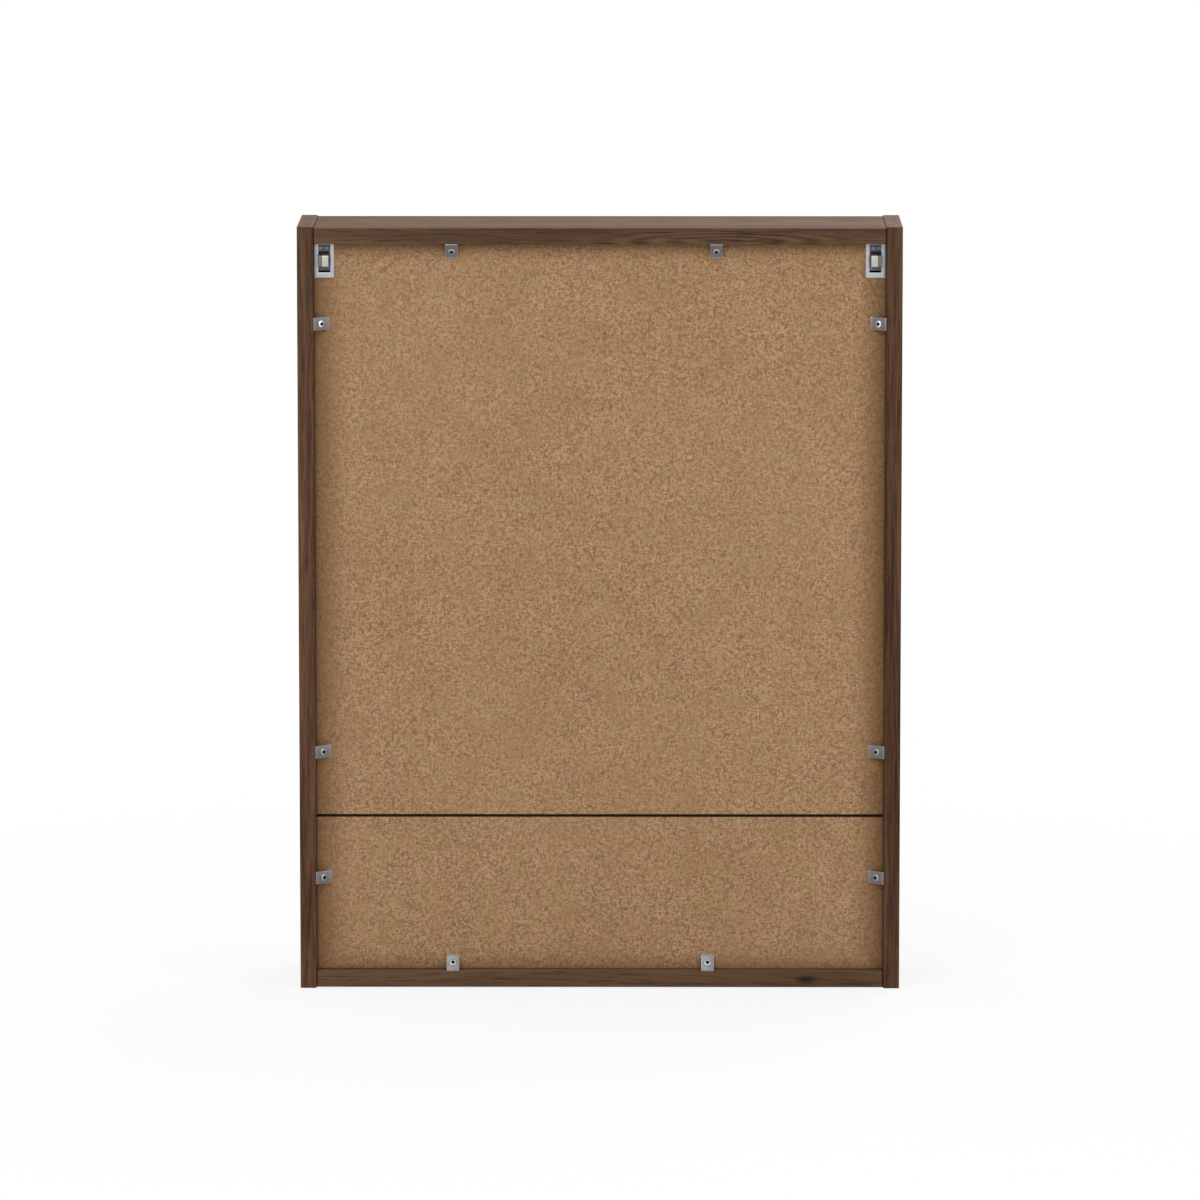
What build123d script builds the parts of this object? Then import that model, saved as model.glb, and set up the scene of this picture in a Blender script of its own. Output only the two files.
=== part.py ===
from build123d import *
import os

# Mirror cabinet for a wall, in millimetres. The mirror doors face -Y, the wall side is +Y and
# Z is up. The origin is under the middle of the cabinet, on the surface that it would stand on.

# Carcass
width = 600.0
height = 766.0
depth = 150.0
board = 16.0
side_proud = 1.2
edge_break = 0.4
split_height = 173.6

# Back panels, let into grooves, with a recess behind them for the wall plates
recess = 12.0
hardboard = 3.0
groove_depth = 6.0
groove_play = 0.2
split_gap = 1.2

# Doors
door_board = 16.0
mirror_thickness = 4.0
mirror_inset = 0.5
mirror_bevel = 0.6
door_gap = 2.5
door_top_drop = 5.0
door_bottom_reveal = 2.0
door_side_inset = 1.0
door_middle_gap = 3.0
door_edge_break = 1.0
bumper_radius = 4.0
bumper_play = 0.1
bumper_inset = 14.0

# Cup hinges, two on each door
hinge_from_door_end = 90.0
hinge_pin_from_edge = 7.0
hinge_pin_depth = 9.0
hinge_pin_radius = 1.25
hinge_pin_length = 18.0
pin_press_clearance = 0.02
pin_running_clearance = 0.05
cup_radius = 17.5
cup_depth = 12.5
cup_wall = 0.8
cup_from_edge = 20.5
cup_bore_clearance = 0.1
flange_thickness = 0.9
flange_lip = 1.0
flange_wing_width = 13.0
flange_wing_height = 57.0
flange_wing_corner = 3.5
cup_screw_spacing = 45.0
cup_screw_offset = 9.5
ear_reach = 2.7
arm_thickness = 2.0
arm_width = 10.0
arm_eye_radius = 2.2
arm_eye_gap = 0.5
arm_leg_from_pin = 11.6
arm_rear_height = 9.0
arm_bend_start = 17.0
arm_bend_length = 8.5
arm_rear_length = 47.0
arm_cheek_thickness = 1.5
arm_cheek_depth = 6.0
plate_wing_thickness = 2.2
plate_wing_width = 12.0
plate_wing_height = 46.0
plate_wing_corner = 3.0
plate_screw_setback = 37.0
plate_screw_spacing = 32.0
rail_front = 18.0
rail_rear = 50.0
rail_play = 0.1
arm_fixing_setback = 41.0
arm_adjuster_setback = 27.0

# Hangers in the top corners, with a hook that is set in height and in depth
hanger_length = 49.0
hanger_side_wall = 3.0
hanger_wall = 1.4
hanger_roof = 1.1
slider_width = 14.0
slider_height = 26.0
slider_travel = 3.8
slider_play = 0.1
slider_floor = 3.8
slider_front_block = 10.0
slider_mouth_depth = 7.0
slider_mouth_rise = 2.8
hook_width = 10.2
hook_height = 12.2
hook_shank_start = 16.0
hook_shank_length = 25.0
hook_neck = 3.2
hook_gap = 5.5
hook_lip = 2.5
hook_lip_step = 1.0
hook_lip_step_width = 3.5
hook_rounding = 1.0
hook_in_travel = 3.5
adjuster_radius = 2.5
adjuster_head_radius = 4.0
adjuster_head_height = 2.2
adjuster_collar_radius = 3.4
adjuster_collar_height = 0.8
depth_screw_reach = 32.0
height_screw_engagement = 2.6
spigot_radius = 5.0
spigot_length = 11.0
spigot_front_place = 12.0
spigot_rear_place = 36.0
face_plate_thickness = 1.2
face_plate_width = 19.5
face_plate_height = 34.3
face_plate_off_side = 0.8
face_plate_corner = 0.8
window_width = 11.9
window_height = 27.7
window_off_side = 4.9
window_off_top = 1.3
notch_play = 0.3

# Back panel clips, a bent strip across the inside corner with a slanting screw
clip_width = 12.6
clip_thickness = 1.2
clip_foot_reach = 15.4
clip_foot_flat = 1.8
clip_rise = 11.4
clip_rise_flat = 1.2
side_clip_below_split = 62.0
side_clip_above_split = 65.4
side_clip_below_top = 79.8
top_clip_places = (147.0, -115.5)
bottom_clip_places = (147.3, -108.0)
clip_screw_radius = 1.75
clip_screw_length = 17.0
clip_screw_head_radius = 3.4
clip_screw_head_height = 2.2

# Dowels and screws, whose round forms have few sides because they repeat so often
shaft_sides = 8
head_sides = 12
dowel_radius = 4.0
dowel_length = 30.0
dowel_in_side = 11.0
dowel_front_setback = 30.0
dowel_rear_setback = 26.0
hole_play = 0.1
wood_screw_radius = 1.75
wood_screw_length = 11.0
wood_screw_head_radius = 3.5
wood_screw_head_height = 1.6
thread_play = 0.05
over_cut = 1.0

# Glass shelves on pins
shelf_heights = (372.0, 564.0)
shelf_glass = 5.0
shelf_side_gap = 2.0
shelf_front_setback = 10.0
shelf_rear_gap = 4.0
shelf_corner = 2.0
shelf_pin_radius = 2.5
shelf_pin_in_side = 9.0
shelf_pin_reach = 7.0
shelf_pin_front_setback = 37.0
shelf_pin_rear_setback = 32.0

# Planes and faces that the pieces share
x_outer = width / 2
x_inner = x_outer - board
y_rear = depth / 2
y_mirror_face = -depth / 2
y_door_front = y_mirror_face + mirror_thickness
y_door_back = y_door_front + door_board
y_carcass_front = y_door_back + door_gap
y_back_rear = y_rear - recess
y_back_front = y_back_rear - hardboard
z_top_upper = height - side_proud
z_top_lower = z_top_upper - board
z_bottom_lower = side_proud
z_bottom_upper = z_bottom_lower + board
z_shelf_lower = split_height - board / 2
z_shelf_upper = z_shelf_lower + board
z_door_low = z_shelf_lower + door_bottom_reveal
z_door_high = height - door_top_drop
x_door_outer = x_outer - door_side_inset
x_door_inner = door_middle_gap / 2
hinge_heights = (z_door_low + hinge_from_door_end, z_door_high - hinge_from_door_end)
side_clip_heights = (
    split_height - side_clip_below_split,
    split_height + side_clip_above_split,
    z_top_lower - side_clip_below_top,
)


def block(x_span, y_span, z_span):
    """A box between three pairs of planes."""
    spans = (x_span, y_span, z_span)
    centre = [(low + high) / 2 for low, high in spans]
    size = [abs(high - low) for low, high in spans]
    return Pos(*centre) * Box(*size)


def rod(start, direction, radius, length):
    """A round bar that starts at a point and runs along a direction."""
    frame = Plane(origin=start, z_dir=direction)
    return frame.location * Cylinder(radius, length, align=(Align.CENTER, Align.CENTER, Align.MIN))


def bar(start, direction, radius, length, sides):
    """A many-sided bar, for small fasteners and the holes that they fill."""
    frame = Plane(origin=start, z_dir=direction)
    return extrude(frame * RegularPolygon(radius, sides), length)


def bore(start, direction, radius, length):
    """A many-sided hole whose flats stand a radius from the axis of what turns in it."""
    frame = Plane(origin=start, z_dir=direction)
    return extrude(frame * RegularPolygon(radius, head_sides, major_radius=False), length)


def group(shapes):
    """Separate solids kept side by side in one node."""
    return Compound([solid for shape in shapes for solid in shape.solids()])


def to_left(shape):
    """The same piece on the cabinet's other side."""
    return mirror(shape, about=Plane.YZ)


def bent_strip(points, thickness):
    """Outline of a strip of constant thickness that follows a bent centre line."""
    half = thickness / 2
    near, far = [], []
    for index, point in enumerate(points):
        before = points[max(index - 1, 0)]
        after = points[min(index + 1, len(points) - 1)]
        into = (Vector(*point) - Vector(*before)).normalized() if index else None
        out = (Vector(*after) - Vector(*point)).normalized() if index < len(points) - 1 else None
        into = into or out
        out = out or into
        across = (Vector(-into.Y, into.X) + Vector(-out.Y, out.X)).normalized()
        reach = half / across.dot(Vector(-out.Y, out.X))
        near.append(Vector(*point) + across * reach)
        far.append(Vector(*point) - across * reach)
    return make_face(Polyline(*near, *reversed(far), close=True))


def plate_outline(plate_width, plate_height, corner):
    """A flat plate's outline, with its corners cut."""
    outline = Rectangle(plate_width, plate_height)
    return chamfer(outline.vertices(), corner)


def headed_screw(shaft_radius, shaft_length, head_radius, head_height):
    """A screw along -Z whose head stands on the XY plane."""
    head = bar((0, 0, 0), (0, 0, 1), head_radius, head_height, head_sides)
    return head + bar((0, 0, -shaft_length), (0, 0, 1), shaft_radius, shaft_length, shaft_sides)


def edged_board(x_span, y_span, z_span, axes):
    """A board whose edges along the given axes are broken by its edging."""
    plain = block(x_span, y_span, z_span)
    return chamfer([edge for axis in axes for edge in plain.edges().filter_by(axis)], edge_break)


# Dowels between each cross board's end and the side, for the +X side
dowel_rows = (y_carcass_front + dowel_front_setback, y_back_front - dowel_rear_setback)
dowel_heights = {
    "top_panel": z_top_lower + board / 2,
    "bottom_panel": z_bottom_lower + board / 2,
    "fixed_shelf": z_shelf_lower + board / 2,
}


def dowel(y, z, play=0.0):
    """A dowel in both boards, or with play the holes drilled for it."""
    start = x_inner + dowel_in_side - dowel_length - play
    return bar((start, y, z), (1, 0, 0), dowel_radius + play, dowel_length + 2 * play, shaft_sides)


dowel_holes = {name: [dowel(y, z, thread_play) for y in dowel_rows] for name, z in dowel_heights.items()}


# Back panel clips
def clip_frame(inward, point):
    """A corner's own frame: X runs in from the carcass face, Y out from the back panel."""
    along = Vector(*inward).cross(Vector(0, 1, 0))
    return Plane(origin=point, x_dir=inward, z_dir=along).location


half_clip = clip_thickness / 2
clip_foot_bend = (clip_foot_reach - clip_foot_flat, half_clip)
clip_rise_bend = (half_clip, clip_rise - clip_rise_flat)
clip_middle = [(a + b) / 2 for a, b in zip(clip_foot_bend, clip_rise_bend)]
clip_slope = Vector(*clip_rise_bend) - Vector(*clip_foot_bend)
clip_normal = Vector(-clip_slope.Y, clip_slope.X).normalized() * -1
clip_seat = Vector(*clip_middle) + clip_normal * half_clip
clip_seat_plane = Plane(origin=clip_seat, x_dir=(0, 0, 1), z_dir=clip_normal)
clip_frames = [clip_frame((-1, 0, 0), (x_inner, y_back_rear, z)) for z in side_clip_heights]
clip_frames += [clip_frame((1, 0, 0), (-x_inner, y_back_rear, z)) for z in side_clip_heights]
clip_frames += [clip_frame((0, 0, -1), (x, y_back_rear, z_top_lower)) for x in top_clip_places]
clip_frames += [clip_frame((0, 0, 1), (x, y_back_rear, z_bottom_upper)) for x in bottom_clip_places]


def back_clip():
    centre_line = [
        (clip_foot_reach, half_clip),
        clip_foot_bend,
        clip_rise_bend,
        (half_clip, clip_rise),
    ]
    strip = extrude(bent_strip(centre_line, clip_thickness), clip_width / 2, both=True)
    bore = clip_seat_plane.location * Box(
        2 * clip_screw_radius + hole_play, 2 * clip_screw_radius + hole_play, 3 * clip_thickness
    )
    return strip - bore


def clip_screw(play=0.0):
    """The clip's screw, or with play the hole that it leaves."""
    body = headed_screw(
        clip_screw_radius + play, clip_screw_length + play, clip_screw_head_radius, clip_screw_head_height
    )
    return clip_seat_plane.location * body


clip_holes = [frame * clip_screw(thread_play) for frame in clip_frames]

# Hanger for the +X top corner
x_hook_middle = x_inner - hanger_side_wall - slider_play - slider_width / 2
cavity_width = slider_width + 2 * slider_play
cavity_height = slider_height + slider_travel + 2 * slider_play
hanger_width = hanger_side_wall + cavity_width + hanger_wall
hanger_height = hanger_roof + cavity_height + hanger_wall
y_hanger_front = y_back_rear - hanger_length
z_hanger_low = z_top_lower - hanger_height
x_slider = (x_hook_middle - slider_width / 2, x_hook_middle + slider_width / 2)
z_slider_high = z_top_lower - hanger_roof - slider_play
z_slider_low = z_slider_high - slider_height
y_slider_rear = y_back_rear - slider_play
y_slider_front = y_hanger_front + hanger_wall + adjuster_head_height + 4 * slider_play
z_hook_low = z_slider_low + slider_floor + slider_play
z_hook_high = z_hook_low + hook_height
z_hook_axis = (z_hook_low + z_hook_high) / 2
x_hook = (x_hook_middle - hook_width / 2, x_hook_middle + hook_width / 2)
y_face_plate = y_back_rear + face_plate_thickness
y_height_screw = y_slider_front + slider_front_block / 2
spigot_places = (y_hanger_front + spigot_front_place, y_hanger_front + spigot_rear_place)
bore_radius = adjuster_radius + thread_play


def hanger_housing():
    body = block(
        (x_inner - hanger_width, x_inner), (y_hanger_front, y_back_rear), (z_hanger_low, z_top_lower)
    )
    body = chamfer(body.edges().filter_by(Axis.Y), edge_break)
    z_floor = z_hanger_low + hanger_wall
    body -= block(
        (x_inner - hanger_side_wall - cavity_width, x_inner - hanger_side_wall),
        (y_hanger_front + hanger_wall, y_back_rear + hanger_wall),
        (z_floor, z_floor + cavity_height),
    )
    screw_place = (x_hook_middle, y_height_screw, z_hanger_low - over_cut)
    body -= bore(screw_place, (0, 0, 1), bore_radius, hanger_wall + 2 * over_cut)
    key_slot = SlotOverall(2 * adjuster_head_radius + slider_travel, 2 * adjuster_head_radius, rotation=90)
    slot_plane = Plane(
        origin=(x_hook_middle, y_hanger_front, z_hook_axis - slider_travel / 2), z_dir=(0, 1, 0)
    )
    body -= extrude(slot_plane * key_slot, hanger_wall, both=True)
    for y in spigot_places:
        body += bar((x_inner, y, z_hook_axis), (1, 0, 0), spigot_radius, spigot_length, head_sides)
    return body


def hanger_face_plate():
    x_middle = x_inner - face_plate_off_side - face_plate_width / 2
    z_middle = z_top_lower - face_plate_height / 2
    x_window = x_inner - window_off_side - window_width / 2
    z_window = z_top_lower - window_off_top - window_height / 2
    plane = Plane(origin=(x_middle, y_back_rear, z_middle), x_dir=(-1, 0, 0), z_dir=(0, 1, 0))
    outline = plate_outline(face_plate_width, face_plate_height, face_plate_corner)
    window = Pos(x_middle - x_window, z_window - z_middle) * Rectangle(window_width, window_height)
    return extrude(plane * (outline - window), face_plate_thickness)


def hanger_slider():
    body = block(x_slider, (y_slider_front, y_slider_rear), (z_slider_low, z_slider_high))
    body = chamfer(body.edges().filter_by(Axis.Y), edge_break)
    x_channel = (x_hook[0] - slider_play, x_hook[1] + slider_play)
    y_channel = y_slider_front + slider_front_block
    y_past = y_slider_rear + over_cut
    body -= block(x_channel, (y_channel, y_past), (z_hook_low - slider_play, z_hook_high + slider_play))
    body -= block(
        x_channel,
        (y_slider_rear - slider_mouth_depth, y_past),
        (z_hook_low - slider_play, z_hook_high + slider_mouth_rise),
    )
    depth_place = (x_hook_middle, y_slider_front - over_cut, z_hook_axis)
    body -= bore(depth_place, (0, 1, 0), bore_radius, slider_front_block + 2 * over_cut)
    height_place = (x_hook_middle, y_height_screw, z_slider_low - over_cut)
    screw_bore = over_cut + height_screw_engagement + slider_travel + 3 * slider_play
    collar_bore = over_cut + adjuster_collar_height + 2 * slider_play
    body -= bore(height_place, (0, 0, 1), bore_radius, screw_bore)
    body -= bore(height_place, (0, 0, 1), adjuster_collar_radius + hole_play, collar_bore)
    return body


def hanger_hook():
    y_start = y_slider_front + hook_shank_start
    y_shank = y_start + hook_shank_length
    y_lip = y_face_plate + hook_gap
    outline = Polyline(
        (y_start, z_hook_low),
        (y_shank, z_hook_low),
        (y_shank, z_hook_high - hook_neck),
        (y_lip, z_hook_high - hook_neck),
        (y_lip, z_hook_low),
        (y_lip + hook_lip, z_hook_low),
        (y_lip + hook_lip, z_hook_high),
        (y_start, z_hook_high),
        close=True,
    )
    plane = Plane(origin=(x_hook_middle, 0, 0), x_dir=(0, 1, 0), z_dir=(1, 0, 0))
    body = extrude(plane * make_face(outline), hook_width / 2, both=True)
    lip_edges = body.edges().filter_by(Axis.X).group_by(Axis.Y)[-1]
    body = fillet(lip_edges, hook_rounding)
    body -= block(
        (x_hook[1] - hook_lip_step_width, x_hook[1] + over_cut),
        (y_lip + hook_lip - hook_lip_step, y_lip + hook_lip + over_cut),
        (z_hook_low + hook_rounding, z_hook_high - hook_rounding),
    )
    bore_end = y_slider_front + depth_screw_reach + hook_in_travel + 4 * slider_play
    bore_start = y_start - over_cut
    body -= bore((x_hook_middle, bore_start, z_hook_axis), (0, 1, 0), bore_radius, bore_end - bore_start)
    return body


def depth_screw():
    """Runs along the hook: its head is in front of the slider, its thread in the hook's shank."""
    y_head = y_slider_front - slider_play
    y_collar = y_slider_front + slider_front_block + slider_play
    seat = Plane(origin=(x_hook_middle, y_head, z_hook_axis), z_dir=(0, -1, 0))
    body = seat.location * headed_screw(
        adjuster_radius, depth_screw_reach, adjuster_head_radius, adjuster_head_height
    )
    return body + bar(
        (x_hook_middle, y_collar, z_hook_axis),
        (0, 1, 0),
        adjuster_collar_radius,
        adjuster_collar_height,
        head_sides,
    )


def height_screw():
    """Stands in the housing's floor: its head is below it, its thread in the slider."""
    z_head = z_hanger_low - slider_play
    z_collar = z_hanger_low + hanger_wall + slider_play
    length = z_slider_low + height_screw_engagement - z_head
    seat = Plane(origin=(x_hook_middle, y_height_screw, z_head), z_dir=(0, 0, -1))
    screw = seat.location * headed_screw(adjuster_radius, length, adjuster_head_radius, adjuster_head_height)
    return screw + bar(
        (x_hook_middle, y_height_screw, z_collar),
        (0, 0, 1),
        adjuster_collar_radius,
        adjuster_collar_height,
        head_sides,
    )


spigot_holes = [
    bar(
        (x_inner, y, z_hook_axis),
        (1, 0, 0),
        spigot_radius + thread_play,
        spigot_length + hole_play,
        head_sides,
    )
    for y in spigot_places
]

# Hinges for the +X door
x_pin = x_door_outer - hinge_pin_from_edge
y_pin = y_door_back - hinge_pin_depth
x_cup = x_door_outer - cup_from_edge
y_plate_screw = y_carcass_front + plate_screw_setback
y_arm_fixing = y_carcass_front + arm_fixing_setback
y_arm_adjuster = y_carcass_front + arm_adjuster_setback


def screw_hole(start, direction, thickness):
    """A clearance hole for a wood screw, a little past both faces of a sheet."""
    first = Vector(*start) - Vector(*direction) * over_cut
    return bar(first, direction, wood_screw_radius + hole_play, thickness + 2 * over_cut, shaft_sides)


def hinge_cup(z):
    mouth = Plane(origin=(x_cup, y_door_back, z), x_dir=(-1, 0, 0), z_dir=(0, -1, 0))
    inside = cup_radius - cup_wall
    well = Cylinder(cup_radius, cup_depth, align=(Align.CENTER, Align.CENTER, Align.MIN))
    well = mouth.location * well
    wing = Pos(cup_screw_offset, 0) * plate_outline(flange_wing_width, flange_wing_height, flange_wing_corner)
    flange = extrude(mouth * (Circle(cup_radius + flange_lip) + wing), -flange_thickness)
    hollow = mouth.location * Pos(0, 0, -flange_thickness) * Cylinder(
        inside, cup_depth - cup_wall + flange_thickness, align=(Align.CENTER, Align.CENTER, Align.MIN)
    )
    ear_inner = arm_width / 2 + arm_eye_gap
    y_floor = y_door_back - cup_depth
    ears = block(
        (x_pin - ear_reach, x_pin + cup_radius), (y_floor, y_pin + ear_reach), (z - cup_radius, z + cup_radius)
    ) - block(
        (x_pin - cup_radius, x_pin + cup_radius),
        (y_floor - over_cut, y_door_back),
        (z - ear_inner, z + ear_inner),
    )
    body = (well + flange) - hollow + (ears & well)
    half_pin = hinge_pin_length / 2 + hole_play
    pin_bore = hinge_pin_radius + pin_press_clearance
    body -= bar((x_pin, y_pin, z - half_pin), (0, 0, 1), pin_bore, 2 * half_pin, shaft_sides)
    for side in (-1, 1):
        place = (x_cup - cup_screw_offset, y_door_back + flange_thickness, z + side * cup_screw_spacing / 2)
        body -= screw_hole(place, (0, -1, 0), flange_thickness)
    return body


def hinge_pin(z):
    start = (x_pin, y_pin, z - hinge_pin_length / 2)
    return bar(start, (0, 0, 1), hinge_pin_radius, hinge_pin_length, shaft_sides)


def cup_screws(z, play=0.0):
    screws = []
    for side in (-1, 1):
        seat = Plane(
            origin=(x_cup - cup_screw_offset, y_door_back + flange_thickness, z + side * cup_screw_spacing / 2),
            z_dir=(0, 1, 0),
        )
        screws.append(
            seat.location
            * headed_screw(
                wood_screw_radius + play,
                wood_screw_length + play,
                wood_screw_head_radius,
                wood_screw_head_height,
            )
        )
    return screws


def hinge_arm(z):
    """Cranked arm from the mounting plate through the cup's mouth to the pin."""
    x_leg = x_pin - arm_leg_from_pin
    x_rear = x_inner - arm_rear_height
    y_bend = y_carcass_front + arm_bend_start
    centre_line = [
        (x_pin, y_pin),
        (x_leg, y_pin),
        (x_leg, y_bend - arm_bend_length),
        (x_rear, y_bend),
        (x_rear, y_carcass_front + arm_rear_length),
    ]
    body = Pos(0, 0, z) * extrude(bent_strip(centre_line, arm_thickness), arm_width / 2, both=True)
    body += rod((x_pin, y_pin, z - arm_width / 2), (0, 0, 1), arm_eye_radius, arm_width)
    x_web = x_rear - arm_thickness / 2
    channel_length = (y_bend, y_carcass_front + arm_rear_length)
    channel_half = arm_width / 2 + rail_play + arm_cheek_thickness
    channel = block((x_web, x_web + arm_cheek_depth), channel_length, (z - channel_half, z + channel_half))
    inside_half = arm_width / 2 + rail_play
    channel -= block((x_web + arm_thickness, x_inner), channel_length, (z - inside_half, z + inside_half))
    body += channel
    eye = hinge_pin_radius + pin_running_clearance
    body -= bore((x_pin, y_pin, z - arm_width), (0, 0, 1), eye, 2 * arm_width)
    for y in (y_arm_fixing, y_arm_adjuster):
        body -= screw_hole((x_web, y, z), (1, 0, 0), arm_thickness)
    return body


def mounting_plate(z):
    """Plate on the side board: a wing with two screws, and a rail that the arm straddles."""
    plane = Plane(origin=(x_inner, y_plate_screw, z), x_dir=(0, 1, 0), z_dir=(-1, 0, 0))
    wing = plate_outline(plate_wing_width, plate_wing_height, plate_wing_corner)
    body = extrude(plane * wing, plate_wing_thickness)
    x_web = x_inner - arm_rear_height + arm_thickness / 2
    body += block(
        (x_web + rail_play, x_inner),
        (y_carcass_front + rail_front, y_carcass_front + rail_rear),
        (z - arm_width / 2, z + arm_width / 2),
    )
    for y in (y_arm_fixing, y_arm_adjuster):
        body -= screw_hole((x_web, y, z), (1, 0, 0), arm_rear_height)
    for side in (-1, 1):
        place = (x_inner - plate_wing_thickness, y_plate_screw, z + side * plate_screw_spacing / 2)
        body -= screw_hole(place, (1, 0, 0), plate_wing_thickness)
    return body


def plate_screws(z, play=0.0):
    screws = []
    for side in (-1, 1):
        seat = Plane(
            origin=(x_inner - plate_wing_thickness, y_plate_screw, z + side * plate_screw_spacing / 2),
            z_dir=(-1, 0, 0),
        )
        screws.append(
            seat.location
            * headed_screw(
                wood_screw_radius + play,
                wood_screw_length + play,
                wood_screw_head_radius,
                wood_screw_head_height,
            )
        )
    return screws


def arm_screws(z):
    """Fixing and adjusting screws, seated on the arm's web."""
    x_seat = x_inner - arm_rear_height - arm_thickness / 2
    screws = []
    for y in (y_arm_fixing, y_arm_adjuster):
        seat = Plane(origin=(x_seat, y, z), z_dir=(-1, 0, 0))
        screws.append(
            seat.location
            * headed_screw(
                wood_screw_radius, arm_rear_height - arm_thickness, wood_screw_head_radius, wood_screw_head_height
            )
        )
    return screws


# Shelf pins and their holes
pin_rows = (y_carcass_front + shelf_pin_front_setback, y_back_front - shelf_pin_rear_setback)
shelf_pin_places = [(y, z - shelf_pin_radius) for y in pin_rows for z in shelf_heights]


def shelf_pin(y, z):
    """A pin whose top carries the glass."""
    length = shelf_pin_reach + shelf_pin_in_side
    return bar((x_inner - shelf_pin_reach, y, z), (1, 0, 0), shelf_pin_radius, length, head_sides)


def shelf_pin_hole(y, z):
    depth_in_side = shelf_pin_in_side + hole_play
    return bar((x_inner, y, z), (1, 0, 0), shelf_pin_radius + thread_play, depth_in_side, head_sides)


# Boards, and which way each groove runs into a cross board
groove_sign = {"top_panel": 1, "bottom_panel": -1}


def side_board():
    """The +X side, with its groove, drillings and hole rows."""
    body = edged_board((x_inner, x_outer), (y_carcass_front, y_rear), (0, height), (Axis.X, Axis.Y, Axis.Z))
    body -= block(
        (x_inner - over_cut, x_inner + groove_depth),
        (y_back_front, y_back_rear + groove_play),
        (z_bottom_upper - groove_depth, z_top_lower + groove_depth),
    )
    holes = [hole for holes in dowel_holes.values() for hole in holes] + spigot_holes
    holes += [shelf_pin_hole(y, z) for y, z in shelf_pin_places]
    holes += [hole for z in hinge_heights for hole in plate_screws(z, thread_play)]
    return body - holes


def cross_board(name, z_span, y_end, groove_face=None):
    """A board between the sides, grooved where a back panel enters it."""
    body = edged_board((-x_inner, x_inner), (y_carcass_front, y_end), z_span, (Axis.X,))
    if groove_face is not None:
        low, high = sorted((groove_face, groove_face + groove_sign[name] * groove_depth))
        past_ends = (-x_inner - over_cut, x_inner + over_cut)
        body -= block(past_ends, (y_back_front, y_back_rear + groove_play), (low, high))
    holes = dowel_holes[name]
    return body - holes - [to_left(hole) for hole in holes]


half_back = x_inner + groove_depth - groove_play


def back_panel(z_span):
    return block((-half_back, half_back), (y_back_front, y_back_rear), z_span)


def hanger_notch():
    """Corner of the upper back panel that the hanger stands in."""
    return block(
        (x_inner - hanger_width - notch_play, x_outer),
        (y_back_front - over_cut, y_back_rear + over_cut),
        (z_hanger_low - notch_play, height),
    )


def door_panel():
    """The +X door's board, bored for its two hinge cups."""
    body = block((x_door_inner, x_door_outer), (y_door_front, y_door_back), (z_door_low, z_door_high))
    back_edges = body.faces().sort_by(Axis.Y)[-1].edges()
    body = chamfer(back_edges, door_edge_break)
    cup_bore_depth = cup_depth + cup_bore_clearance
    holes = [
        rod((x_cup, y_door_back, z), (0, -1, 0), cup_radius + cup_bore_clearance, cup_bore_depth)
        for z in hinge_heights
    ]
    holes += [hole for z in hinge_heights for hole in cup_screws(z, thread_play)]
    return body - holes


def door_mirror():
    body = block(
        (x_door_inner + mirror_inset, x_door_outer - mirror_inset),
        (y_mirror_face, y_door_front),
        (z_door_low + mirror_inset, z_door_high - mirror_inset),
    )
    return chamfer(body.faces().sort_by(Axis.Y)[0].edges(), mirror_bevel)


def door_bumpers():
    """Buffers near the free edge, against the top panel's and the fixed shelf's edges."""
    thickness = door_gap - bumper_play
    places = ((z_top_lower + z_door_high) / 2, (z_door_low + z_shelf_upper) / 2)
    x = x_door_inner + bumper_inset
    return [bar((x, y_door_back, z), (0, 1, 0), bumper_radius, thickness, head_sides) for z in places]


def glass_shelf(z):
    y_front = y_carcass_front + shelf_front_setback
    y_rear_edge = y_back_front - shelf_rear_gap
    outline = plate_outline(2 * (x_inner - shelf_side_gap), y_rear_edge - y_front, shelf_corner)
    y_middle = (y_front + y_rear_edge) / 2
    return extrude(Plane(origin=(0, y_middle, z)) * outline, shelf_glass)


right_side = side_board()
left_side = to_left(right_side)
top_panel = cross_board("top_panel", (z_top_lower, z_top_upper), y_rear, z_top_lower)
bottom_panel = cross_board("bottom_panel", (z_bottom_lower, z_bottom_upper), y_rear, z_bottom_upper)
fixed_shelf = cross_board("fixed_shelf", (z_shelf_lower, z_shelf_upper), y_back_front)
back_upper = back_panel((split_height + split_gap / 2, z_top_lower + groove_depth - groove_play))
back_upper -= [hanger_notch(), to_left(hanger_notch())]
back_lower = back_panel((z_bottom_upper - groove_depth, split_height - split_gap / 2))

panels = {
    "right_side": right_side,
    "left_side": left_side,
    "top_panel": top_panel,
    "bottom_panel": bottom_panel,
    "back_panel_upper": back_upper,
    "back_panel_lower": back_lower,
}
nodes = {name: panel - clip_holes for name, panel in panels.items()}
nodes["fixed_shelf"] = fixed_shelf
nodes["back_clips"] = group([frame * back_clip() for frame in clip_frames])
nodes["back_clip_screws"] = group([frame * clip_screw() for frame in clip_frames])


def both_sides(shapes):
    return group(list(shapes) + [to_left(shape) for shape in shapes])


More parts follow.
